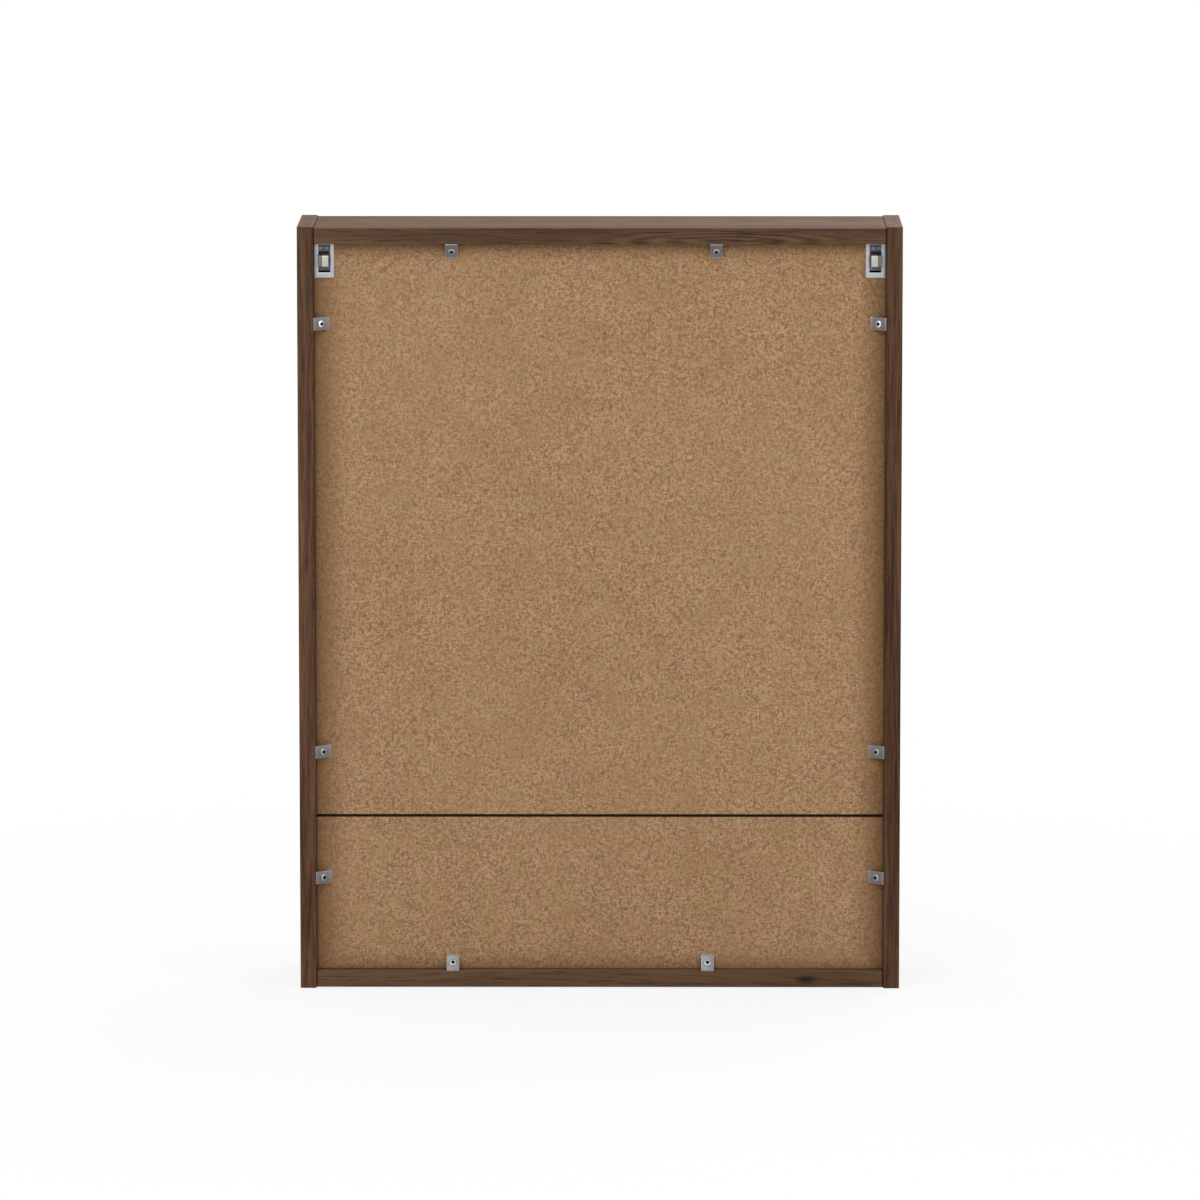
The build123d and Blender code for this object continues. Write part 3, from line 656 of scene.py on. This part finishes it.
def bent_outline(points, thickness, radius, steps=4):
    """Outline of a strip that follows a line of points, its bends rounded."""
    centre = [Vector(point) for point in points]
    line = [centre[0]]
    for before, bend, after in zip(centre, centre[1:], centre[2:]):
        into, out = (bend - before).normalized(), (after - bend).normalized()
        half_turn = into.angle(out) / 2
        reach = min(radius * math.tan(half_turn), 0.45 * (bend - before).length, 0.45 * (after - bend).length)
        for step in range(steps + 1):
            share = step / steps
            start, end = bend - into * reach, bend + out * reach
            line.append(start * (1 - share) ** 2 + bend * 2 * share * (1 - share) + end * share ** 2)
    line.append(centre[-1])
    near, far = [], []
    for index, point in enumerate(line):
        ahead = line[min(index + 1, len(line) - 1)] - line[max(index - 1, 0)]
        across = Vector((-ahead.y, ahead.x)).normalized() * thickness / 2
        near.append(tuple(point + across))
        far.append(tuple(point - across))
    return near + far[::-1]


def corner_places():
    """For each clip: the corner's origin, the way in from the carcass, and the clip's size."""
    places = []
    for low, high in solid_boxes("back_clips"):
        middle, size = (low + high) / 2, high - low
        if middle.z > z_top_inner - panel_reach:
            places.append((Vector((middle.x, y_back, z_top_inner)), Vector((0, 0, -1)), size.z, size.x, size.y))
        elif middle.z < z_bottom_inner + panel_reach:
            places.append((Vector((middle.x, y_back, z_bottom_inner)), Vector((0, 0, 1)), size.z, size.x, size.y))
        else:
            sign = math.copysign(1, middle.x)
            origin = Vector((sign * x_inner, y_back, middle.z))
            places.append((origin, Vector((-sign, 0, 0)), size.x, size.z, size.y))
    return places


def clip_shapes():
    """Each clip with a collar round its hole, and its slanting screw, its head painted darker as shade on all but
    the upper side clips.
    """
    clips, screws = [], []
    half = clip_thickness / 2
    for origin, inward, reach, width, rise in corner_places():
        foot = Vector((reach - clip_foot_flat, half))
        crest = Vector((half, rise - clip_rise_flat))
        line = [(reach, half), tuple(foot), tuple(crest), (half, rise)]
        plate = prism(width, bent_outline(line, clip_thickness, clip_bend_radius))
        # The roundings take the second finish, a painted highlight
        plate = softened(plate, clip_rounding, 2, mark=1)
        outward = Vector((0, 1, 0))
        corner = axes_at(origin, inward, outward)
        centred = corner @ Matrix.Translation((0, 0, -width / 2))
        clips.append(placed(plate, centred))
        slope = (crest - foot).normalized()
        seat = (foot + crest) / 2 + Vector((slope.y, -slope.x)) * half
        normal = inward * slope.y - outward * slope.x
        along = inward.cross(outward)
        centre = origin + inward * seat.x + outward * seat.y
        seat_place = axes_at(centre, along, normal.cross(along))
        collar = turned(clip_collar, 28, ring=True)
        clips.append(placed(collar, seat_place))
        head = clip_screw_head, clip_screw_head_height
        points, faces, marks = screw(*head, clip_screw_shank, clip_screw_length, clip_screw_pitch)
        # Painted shade: these screw heads take the darker copy of the steel
        if inward.z or origin.z < cabinet_middle.z:
            marks = [shaded_head_mark if mark == head_mark else mark for mark in marks]
        screws.append(placed((points, faces, marks), seat_place))
    return joined(clips), joined(screws)


clips, clip_screws = clip_shapes()
steel_screw = (screw_zinc, recess_painted_shade, shank_painted_shade)
add_piece("formed_back_clips", clips, "cabinet", (clip_zinc, edge_painted_highlight), "back_clips")
add_piece(
    "cross_head_clip_screws",
    clip_screws,
    "cabinet",
    (*steel_screw, shaded_screw_zinc),
    "back_clip_screws",
)


# Hangers: face plate with its window, slider, hook and adjusting screws
def wall_side_place(low, high, y):
    """A place whose X runs to the left as seen from behind, Y up, and Z out to the wall."""
    middle = (low + high) / 2
    return axes_at((middle.x, y, middle.z), (-1, 0, 0), (0, 0, 1))


window_off_side = 4.9 * MM
window_off_top = 1.3 * MM
window_width = 11.9 * MM
window_height = 27.7 * MM


def face_plate(low, high):
    """Stamped plate with a window; the carcass is on its +X side."""
    size, middle = high - low, (low + high) / 2
    window_x = middle.x - (x_inner - window_off_side - window_width / 2)
    window_y = z_top_inner - window_off_top - window_height / 2 - middle.z
    window = moved_outline(rounded_outline(window_width, window_height, 0.5 * MM), window_x, window_y)
    plate = prism(size.y, rounded_outline(size.x, size.z, 1.0 * MM), window)
    return placed(softened(plate, 0.3 * MM, 3), wall_side_place(low, high, low.y))


mouth_depth = 7.0 * MM
mouth_rise = 2.8 * MM
slider_wall_to_hook = 0.1 * MM
slider_front = 10.0 * MM
pad_width, pad_height, pad_thickness = 3.6 * MM, 2.6 * MM, 1.0 * MM
pad_aside, pad_below_top = 2.9 * MM, 3.6 * MM
thread_bore, collar_bore = 2.55 * MM, 3.5 * MM
collar_room, thread_room = 1.0 * MM, 5.7 * MM


def front_blocks(size, depth, axis_height):
    """The slider's front end: stacked blocks, bored from below and along the hook's axis."""
    floor, blocks = -size.z / 2, []
    for radius, height in ((collar_bore, collar_room), (thread_bore, thread_room)):
        outline = moved_outline(rounded_outline(size.x, depth, 0.3 * MM), 0, -depth / 2)
        block = prism(height, outline, circle_outline(radius, 24, (0, -depth / 2)))
        blocks.append(placed(block, axes_at((0, floor, 0), (1, 0, 0), (0, 0, -1))))
        floor += height
    rise = size.z / 2 - floor
    outline = moved_outline(rounded_outline(size.x, rise, 0.5 * MM), 0, floor + rise / 2)
    blocks.append(prism(depth, outline, circle_outline(thread_bore, 24, (0, axis_height))))
    return blocks


def slider_block(low, high, hook_low, hook_high):
    """Moulded slider: a tube for the hook with a taller mouth, closed in front, ridged above."""
    size, middle = high - low, (low + high) / 2
    outer = rounded_outline(size.x, size.z, 0.7 * MM)
    play = slider_wall_to_hook
    channel_width = hook_high.x - hook_low.x + 2 * play
    hook_axis = (hook_low.z + hook_high.z) / 2
    z_low, z_high = hook_low.z - play - middle.z, hook_high.z + play - middle.z
    channel = moved_outline(rounded_outline(channel_width, z_high - z_low, 0.3 * MM), 0, (z_low + z_high) / 2)
    z_mouth = z_high + mouth_rise
    mouth = moved_outline(rounded_outline(channel_width, z_mouth - z_low, 0.3 * MM), 0, (z_low + z_mouth) / 2)
    tube_length = size.y - mouth_depth - slider_front
    blocks = front_blocks(size, slider_front, hook_axis - middle.z)
    tube = marked(moved(prism(tube_length, outer, channel), 0, 0, slider_front), 2)
    rim = softened(prism(mouth_depth, outer, mouth), 0.3 * MM, 2)
    rim = moved(rim, 0, 0, slider_front + tube_length)
    pads = []
    for x in (-pad_aside, pad_aside):
        pad = softened(prism(pad_thickness, rounded_outline(pad_width, pad_height, 1.2 * MM)), 0.3 * MM, 2)
        pads.append(marked(moved(pad, x, size.z / 2 - pad_below_top, size.y - 0.3 * MM), 1))
    return placed(joined([*blocks, tube, rim, *pads]), wall_side_place(low, high, low.y))


def hook_shape(low, high):
    """Die-cast hook: shank, neck and a lip that hangs down, stepped back on its outer third."""
    gap_width, gap_depth, lip = 10.7 * MM, 9.0 * MM, 2.5 * MM
    step_width, step_back = 3.5 * MM, 0.9 * MM
    low_chamfer, high_chamfer = 1.0 * MM, 1.2 * MM
    y_lip = high.y - lip
    y_gap = y_lip - gap_width

    def slice_between(x_low, x_high, y_face):
        outline = [
            (low.y, low.z),
            (y_gap, low.z),
            (y_gap, low.z + gap_depth),
            (y_lip, low.z + gap_depth),
            (y_lip, low.z),
            (y_face - low_chamfer, low.z),
            (y_face, low.z + low_chamfer),
            (y_face, high.z - high_chamfer),
            (y_face - high_chamfer, high.z),
            (low.y, high.z),
        ]
        bar = softened(prism(x_high - x_low, outline), 0.4 * MM, 3)
        return placed(bar, axes_at((x_low, 0, 0), (0, 1, 0), (0, 0, 1)))

    x_step = high.x - step_width
    # The stepped outer third takes the darker zinc, painted shade
    stepped = marked(slice_between(x_step, high.x, high.y - step_back), 1)
    return joined([slice_between(low.x, x_step, high.y), stepped])


adjuster_head, adjuster_head_height, adjuster_shank, adjuster_pitch = 4.0 * MM, 2.2 * MM, 2.5 * MM, 0.8 * MM
collar_disc = softened(prism(0.8 * MM, circle_outline(3.4 * MM, 32)), 0.15 * MM, 2)


def adjuster(length, collar_at):
    """A set screw along -Z with a riveted collar behind its seat."""
    shaft = screw(adjuster_head, adjuster_head_height, adjuster_shank, length, adjuster_pitch)
    return joined([shaft, moved(collar_disc, 0, 0, -collar_at - 0.8 * MM)])


def height_adjuster(low, high):
    seat = Vector(((low.x + high.x) / 2, (low.y + high.y) / 2, low.z + adjuster_head_height))
    return placed(adjuster(high.z - seat.z, 1.5 * MM), axes_at(seat, (1, 0, 0), (0, -1, 0)))


def depth_adjuster(low, high):
    seat = Vector(((low.x + high.x) / 2, low.y + adjuster_head_height, (low.z + high.z) / 2))
    return placed(adjuster(high.y - seat.y, 10.2 * MM), axes_at(seat, (1, 0, 0), (0, 0, 1)))


slider_finishes = (slider_plastic, worn_plastic, dark_plastic)
hook_finishes = (hook_zinc, step_painted_shade)
hook_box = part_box("right_hanger_hook")
hanger_pieces = [
    ("stamped_face_plate", "hanger_face_plate", "cabinet", face_plate, (zinc, edge_painted_highlight), "zinc"),
    ("cast_hook", "hanger_hook", "hook", hook_shape, hook_finishes, "hook_zinc"),
    ("height_set_screw", "hanger_height_screw", "height_screw", height_adjuster, steel_screw, "screw_steel"),
    ("depth_set_screw", "hanger_depth_screw", "depth_screw", depth_adjuster, steel_screw, "screw_steel"),
    (
        "moulded_slider",
        "hanger_slider",
        "hanger_carriage",
        lambda low, high: slider_block(low, high, *hook_box),
        slider_finishes,
        "dark_plastic",
    ),
]
for side, sign in sides:
    for name, node, body, shape_of, finishes, slot in hanger_pieces:
        shape = placed(shape_of(*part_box("right_" + node)), mirrored(sign))
        body = body if body == "cabinet" else side + "_" + body
        add_piece(side + "_" + name, shape, body, finishes, side + "_" + node)

# Cup hinges, drawn for the +X door; the other door's are their mirror image. The cup is in millimetres.
cup_radius, cup_depth, cup_wall = 17.5, 12.5, 0.8
cup_from_edge = 20.5 * MM
wing_offset, wing_end, wing_half = 9.5, 28.5, 6.5
wing_thickness = 0.9 * MM
wing_screw_place = 22.5
cheek_width, cheek_above_pin, cheek_thickness, cheek_gap = 4.9 * MM, 2.7 * MM, 2.2 * MM, 11.0 * MM
hinge_screw_head, hinge_screw_head_height = 3.5 * MM, 1.6 * MM
hinge_screw_shank, hinge_screw_pitch = 1.75 * MM, 1.3 * MM
pin_low, pin_high = solid_boxes("right_hinge_pins")[0]
pin_x, pin_y = (pin_low.x + pin_high.x) / 2, (pin_low.y + pin_high.y) / 2
pin_length = pin_high.z - pin_low.z
hinge_heights = [(low.z + high.z) / 2 for low, high in solid_boxes("right_hinge_pins")]
door_edge, door_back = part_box("right_door_panel")[1].x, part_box("right_door_panel")[1].y


def cup_wing(sign):
    """One of the flange's two ears, from the cup's rim to past its screw."""
    rim, corner = 17.0, 4.5
    inner, outer = wing_offset - wing_half, wing_offset + wing_half
    steps = 8
    arc = [inner + (outer - inner) * step / steps for step in range(steps + 1)]
    outline = [(x, math.sqrt(rim ** 2 - x ** 2)) for x in reversed(arc)]
    for centre, turn in ((inner + corner, math.pi), (outer - corner, math.pi / 2)):
        for step in range(6):
            angle = turn - math.pi / 2 * step / 5
            x = centre + corner * math.cos(angle)
            outline.append((x, wing_end - corner + corner * math.sin(angle)))
    outline = in_mm([(x, sign * y) for x, y in outline])
    hole = circle_outline(1.9 * MM, 16, (wing_offset * MM, sign * wing_screw_place * MM))
    return softened(prism(wing_thickness, outline, hole), 0.2 * MM, 2)


def pressed_cup():
    """Deep-drawn cup with its flange, standing on the door's back."""
    inside = cup_radius - cup_wall
    profile = [
        (0, -cup_depth),
        (cup_radius - 2, -cup_depth),
        (cup_radius - 0.6, 0.6 - cup_depth),
        (cup_radius, 2 - cup_depth),
        (cup_radius, 0),
        (cup_radius + 1, 0),
        (cup_radius + 1, 0.6),
        (cup_radius + 0.7, 0.9),
        (cup_radius - 0.2, 0.9),
        (inside, 0.3),
        (inside, 2 - cup_depth + cup_wall),
        (inside - 1.4, cup_wall - cup_depth),
        (0, cup_wall - cup_depth),
    ]
    well = turned(in_mm(profile), 48)
    return joined([well, cup_wing(1), cup_wing(-1)])


def hinge_cup(z):
    x_cup = door_edge - cup_from_edge
    cup = placed(pressed_cup(), axes_at((x_cup, door_back, z), (-1, 0, 0), (0, 0, 1)))
    floor = door_back - (cup_depth - cup_wall / 2) * MM
    cheek_height = pin_y + cheek_above_pin - floor
    cheek = rounded_outline(cheek_width, cheek_height, 1.6 * MM)
    cheek = moved_outline(cheek, pin_x - 0.25 * MM, floor + cheek_height / 2)
    cheek = softened(prism(cheek_thickness, cheek), 0.2 * MM, 2)
    places = (z + cheek_gap / 2, z - cheek_gap / 2 - cheek_thickness)
    return joined([cup, *[moved(cheek, 0, 0, place) for place in places]])


def hinge_pin(z):
    half = pin_length / 2 / MM
    profile = [(0, -half), (0.9, -half), (1.22, 0.4 - half), (1.22, half - 0.4), (0.9, half), (0, half)]
    return moved(turned(in_mm(profile), 20), pin_x, pin_y, z)


arm_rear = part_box("hinge_arms")[1].y
arm_width, arm_thickness = 10.0 * MM, 2.0 * MM
arm_leg_from_pin, arm_bend_length, arm_bend_radius = 11.6 * MM, 8.5 * MM, 3.0 * MM
eye_radius, eye_bore = 2.2 * MM, 1.3 * MM
channel_front, channel_half, channel_depth, channel_wall = -35.5 * MM, 6.6 * MM, 6.0 * MM, 1.5 * MM
web_outer = x_inner - 10.0 * MM


def hinge_arm(z):
    """Cranked arm: an eye round the pin, a neck, and a channel that straddles the mounting plate."""
    x_leg, x_web = pin_x - arm_leg_from_pin, web_outer + arm_thickness / 2
    line = [
        (pin_x, pin_y),
        (x_leg, pin_y),
        (x_leg, channel_front - arm_bend_length),
        (x_web, channel_front),
        (x_web, channel_front + 4 * MM),
    ]
    neck = softened(prism(arm_width, bent_outline(line, arm_thickness, arm_bend_radius)), 0.35 * MM, 2)
    eye = softened(prism(arm_width, circle_outline(eye_radius, 28), circle_outline(eye_bore, 20)), 0.2 * MM, 2)
    outer, inner, x_lip = channel_half, channel_half - channel_wall, channel_depth
    section = [(0, -outer), (x_lip, -outer), (x_lip, -inner), (arm_thickness, -inner)]
    section += [(x, -y) for x, y in reversed(section)]
    channel = softened(prism(arm_rear - channel_front, section), 0.5 * MM, 3)
    channel = placed(channel, axes_at((web_outer, arm_rear, z), (1, 0, 0), (0, 0, 1)))
    z_low = z - arm_width / 2
    return joined([moved(neck, 0, 0, z_low), moved(eye, pin_x, pin_y, z_low), channel])


def mounting_plate(z):
    """Cross-shaped plate: a wing with two screws, and the rail under the arm."""
    holes = [circle_outline(1.95 * MM, 16, (0, up * plate_screw_spacing / 2)) for up in (-1, 1)]
    wing = prism(plate_thickness, rounded_outline(plate_width, plate_height, 5.4 * MM), *holes)
    on_side_board = axes_at((x_inner, plate_screw_y, z), (0, 1, 0), (0, 0, 1))
    wing = placed(softened(wing, 0.5 * MM, 3), on_side_board @ Matrix.Scale(-1, 4, (0, 0, 1)))
    rail = prism(x_inner - web_outer - rail_from_web, rounded_outline(rail_length, arm_width, 1.5 * MM))
    rail_place = axes_at((web_outer + rail_from_web, rail_middle, z), (0, 1, 0), (0, 0, 1))
    return joined([wing, placed(softened(rail, 0.4 * MM, 2), rail_place)])


plate_width, plate_height, plate_thickness = 12 * MM, 46 * MM, 2.2 * MM
plate_screw_spacing = 32 * MM
rail_from_web = 2.1 * MM
plate_low, plate_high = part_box("hinge_mounting_plates")
rail_length, rail_middle = plate_high.y - plate_low.y, (plate_low.y + plate_high.y) / 2
screw_low, screw_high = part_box("hinge_plate_screws")
plate_screw_y = (screw_low.y + screw_high.y) / 2


def wood_screw_at(low, high, out):
    """A screw in a CAD screw's box, its head on the side that it comes out of."""
    out = Vector(out)
    middle, half = (low + high) / 2, (high - low) / 2
    length = 2 * abs(half.dot(out)) - hinge_screw_head_height
    seat = middle + out * (abs(half.dot(out)) - hinge_screw_head_height)
    body = screw(hinge_screw_head, hinge_screw_head_height, hinge_screw_shank, length, hinge_screw_pitch)
    return placed(body, axes_at(seat, (0, 0, 1), out.cross(Vector((0, 0, 1)))))


def screws_of(node, out):
    """Every screw of a CAD node; on the cabinet's -X side its heads face the other way."""
    return [
        wood_screw_at(low, high, (out[0] * math.copysign(1, low.x + high.x), out[1], out[2]))
        for low, high in solid_boxes(node)
    ]


def on_both_sides(shapes):
    return joined([placed(shape, mirrored(sign)) for shape in shapes for _, sign in sides])


arms = on_both_sides([hinge_arm(z) for z in hinge_heights])
plates = on_both_sides([mounting_plate(z) for z in hinge_heights])
add_piece("cranked_hinge_arms", arms, "cabinet", (nickel,), "hinge_arms")
add_piece("cross_mounting_plates", plates, "cabinet", (nickel,), "hinge_mounting_plates")
nickel_screw = (nickel, recess_painted_shade, shank_painted_shade)
for node in ("hinge_plate_screws", "hinge_arm_screws"):
    add_piece("cross_head_" + node, joined(screws_of(node, (-1, 0, 0))), "cabinet", nickel_screw, node)


def bumper(low, high):
    """Clear dome that takes the door's closing knock."""
    radius, rise = (high.x - low.x) / 2, high.y - low.y
    steps = 7
    angles = [math.pi / 2 * step / steps for step in range(steps)]
    dome = [(radius * math.cos(t), rise * (0.25 + 0.75 * math.sin(t))) for t in angles]
    shape = turned([(0, 0), (radius, 0), *dome, (0, rise)], 32)
    middle = (low + high) / 2
    return placed(shape, axes_at((middle.x, low.y, middle.z), (-1, 0, 0), (0, 0, 1)))


for side, sign in sides:
    reflect = mirrored(sign)
    body = side + "_door"
    cups = placed(joined([hinge_cup(z) for z in hinge_heights]), reflect)
    pins = placed(joined([hinge_pin(z) for z in hinge_heights]), reflect)
    screw_node = side + "_hinge_cup_screws"
    cup_screws = joined(screws_of(screw_node, (0, 1, 0)))
    domes = joined([bumper(low, high) for low, high in solid_boxes(side + "_door_bumpers")])
    add_piece(side + "_pressed_hinge_cups", cups, body, (nickel,), side + "_hinge_cups")
    add_piece(side + "_ground_hinge_pins", pins, body, (screw_zinc,), side + "_hinge_pins")
    add_piece(side + "_cross_head_cup_screws", cup_screws, body, nickel_screw, screw_node)
    add_piece(side + "_domed_bumpers", domes, body, (silicone,), side + "_door_bumpers")

# Shelf pins: a round end in the cupboard, a groove, and a plain shank in the side board
pins = []
for low, high in solid_boxes("shelf_pins"):
    length = (high.x - low.x) / MM
    radius = (high.z - low.z) / 2 / MM
    profile = [(0, 0), (radius - 1.0, 0), (radius - 0.3, 0.3), (radius, 1.0), (radius, 5.2), (radius - 0.4, 5.5)]
    profile += [(radius - 0.4, 6.1), (radius, 6.4), (radius, length - 0.5), (radius - 0.5, length), (0, length)]
    sign = math.copysign(1, low.x)
    middle = (low + high) / 2
    tip = Vector((min(abs(low.x), abs(high.x)) * sign, middle.y, middle.z))
    pins.append(placed(turned(in_mm(profile), 28), axes_at(tip, (0, 1, 0), (0, 0, sign))))
add_piece("turned_shelf_pins", joined(pins), "cabinet", (nickel,), "shelf_pins")

# Studio: a pale floor, a white world that also shows in metal and glass, and soft lamps all round
floor_reach, floor_corner = 6.0, 0.5
floor_depth = 10 * MM
floor_grey = 0.86
shadow_share = 0.18
shadow_fades_from, shadow_fades_to = 0.45, 1.3


def pale_stage():
    """The floor. What shows of it is white, with part of the cabinet's shadow left near it."""
    shape = moved(prism(floor_depth, rounded_outline(2 * floor_reach, 2 * floor_reach, floor_corner)), 0, 0, -floor_depth)
    mesh = bpy.data.meshes.new("studio_floor")
    mesh.from_pydata([tuple(point) for point in shape[0]], [], shape[1])
    floor = bpy.data.objects.new("studio_floor", mesh)
    bpy.context.scene.collection.objects.link(floor)
    finish = Finish("studio_floor", Base_Color=(floor_grey, floor_grey, floor_grey, 1.0), Roughness=0.9)
    near = 1 - finish.distance_from((0.0, 0.0, 0.0), (1.0, 1.0, 1.0)).ramp(shadow_fades_from, shadow_fades_to)
    glow = finish.node("ShaderNodeEmission", None, {"Color": (1.0, 1.0, 1.0, 1.0), "Strength": 1.0})
    lit = Value(finish, finish.shader.outputs[0])
    amount = finish.looked_at() * (1 - near * shadow_share)
    shown = finish.node("ShaderNodeMixShader", None, {0: amount, 1: lit, 2: glow})
    output = finish.tree.nodes["Material Output"]
    finish.tree.links.new(shown.socket, output.inputs["Surface"])
    mesh.materials.append(finish.material)


def white_world(ambient):
    world = bpy.data.worlds.new("studio_world")
    bpy.context.scene.world = world
    world.use_nodes = True
    sky = Shading(world.node_tree)
    strength = sky.looked_at() * (1 - ambient) + ambient
    background = sky.tree.nodes["Background"]
    background.inputs["Color"].default_value = (1.0, 1.0, 1.0, 1.0)
    sky.tree.links.new(strength.socket, background.inputs["Strength"])


def soft_lamp(name, azimuth, elevation, distance, size, power):
    """A square lamp that faces the cabinet from a direction round it."""
    a, e = math.radians(azimuth), math.radians(elevation)
    away = Vector((math.sin(a) * math.cos(e), -math.cos(a) * math.cos(e), math.sin(e)))
    data = bpy.data.lights.new(name, "AREA")
    data.size = size
    data.energy = power
    lamp = bpy.data.objects.new(name, data)
    lamp.location = cabinet_middle + away * distance
    lamp.rotation_mode = "QUATERNION"
    lamp.rotation_quaternion = away.to_track_quat("Z", "Y")
    bpy.context.scene.collection.objects.link(lamp)


pale_stage()
white_world(0.36)
soft_lamp("wall_side_key", 160, 40, 3.0, 1.8, 34)
soft_lamp("wall_side_fill", 225, 20, 3.2, 2.0, 20)
soft_lamp("door_side_key", 330, 35, 3.0, 1.8, 32)
soft_lamp("door_side_fill", 50, 20, 3.2, 2.0, 20)
soft_lamp("overhead", 180, 88, 2.6, 1.6, 22)

# Camera behind the cabinet and above it, with a long lens
camera_distance = 8.0
camera_height = 1.5303
camera_aside = -0.0327
camera_tilt = 0.1425
camera_turn = 0.0041
frame_pixels = 1200
focal_pixels = 8039.4
sensor_width = 36.0

camera_data = bpy.data.cameras.new("camera")
camera_data.sensor_width = sensor_width
camera_data.lens = focal_pixels / frame_pixels * sensor_width
camera_data.clip_end = 100.0
camera = bpy.data.objects.new("camera", camera_data)
camera.location = (camera_aside, camera_distance, camera_height)
camera.rotation_euler = (math.pi / 2 - camera_tilt, 0.0, math.pi + camera_turn)
bpy.context.scene.collection.objects.link(camera)
bpy.context.scene.camera = camera
bpy.context.scene.view_settings.view_transform = "Standard"
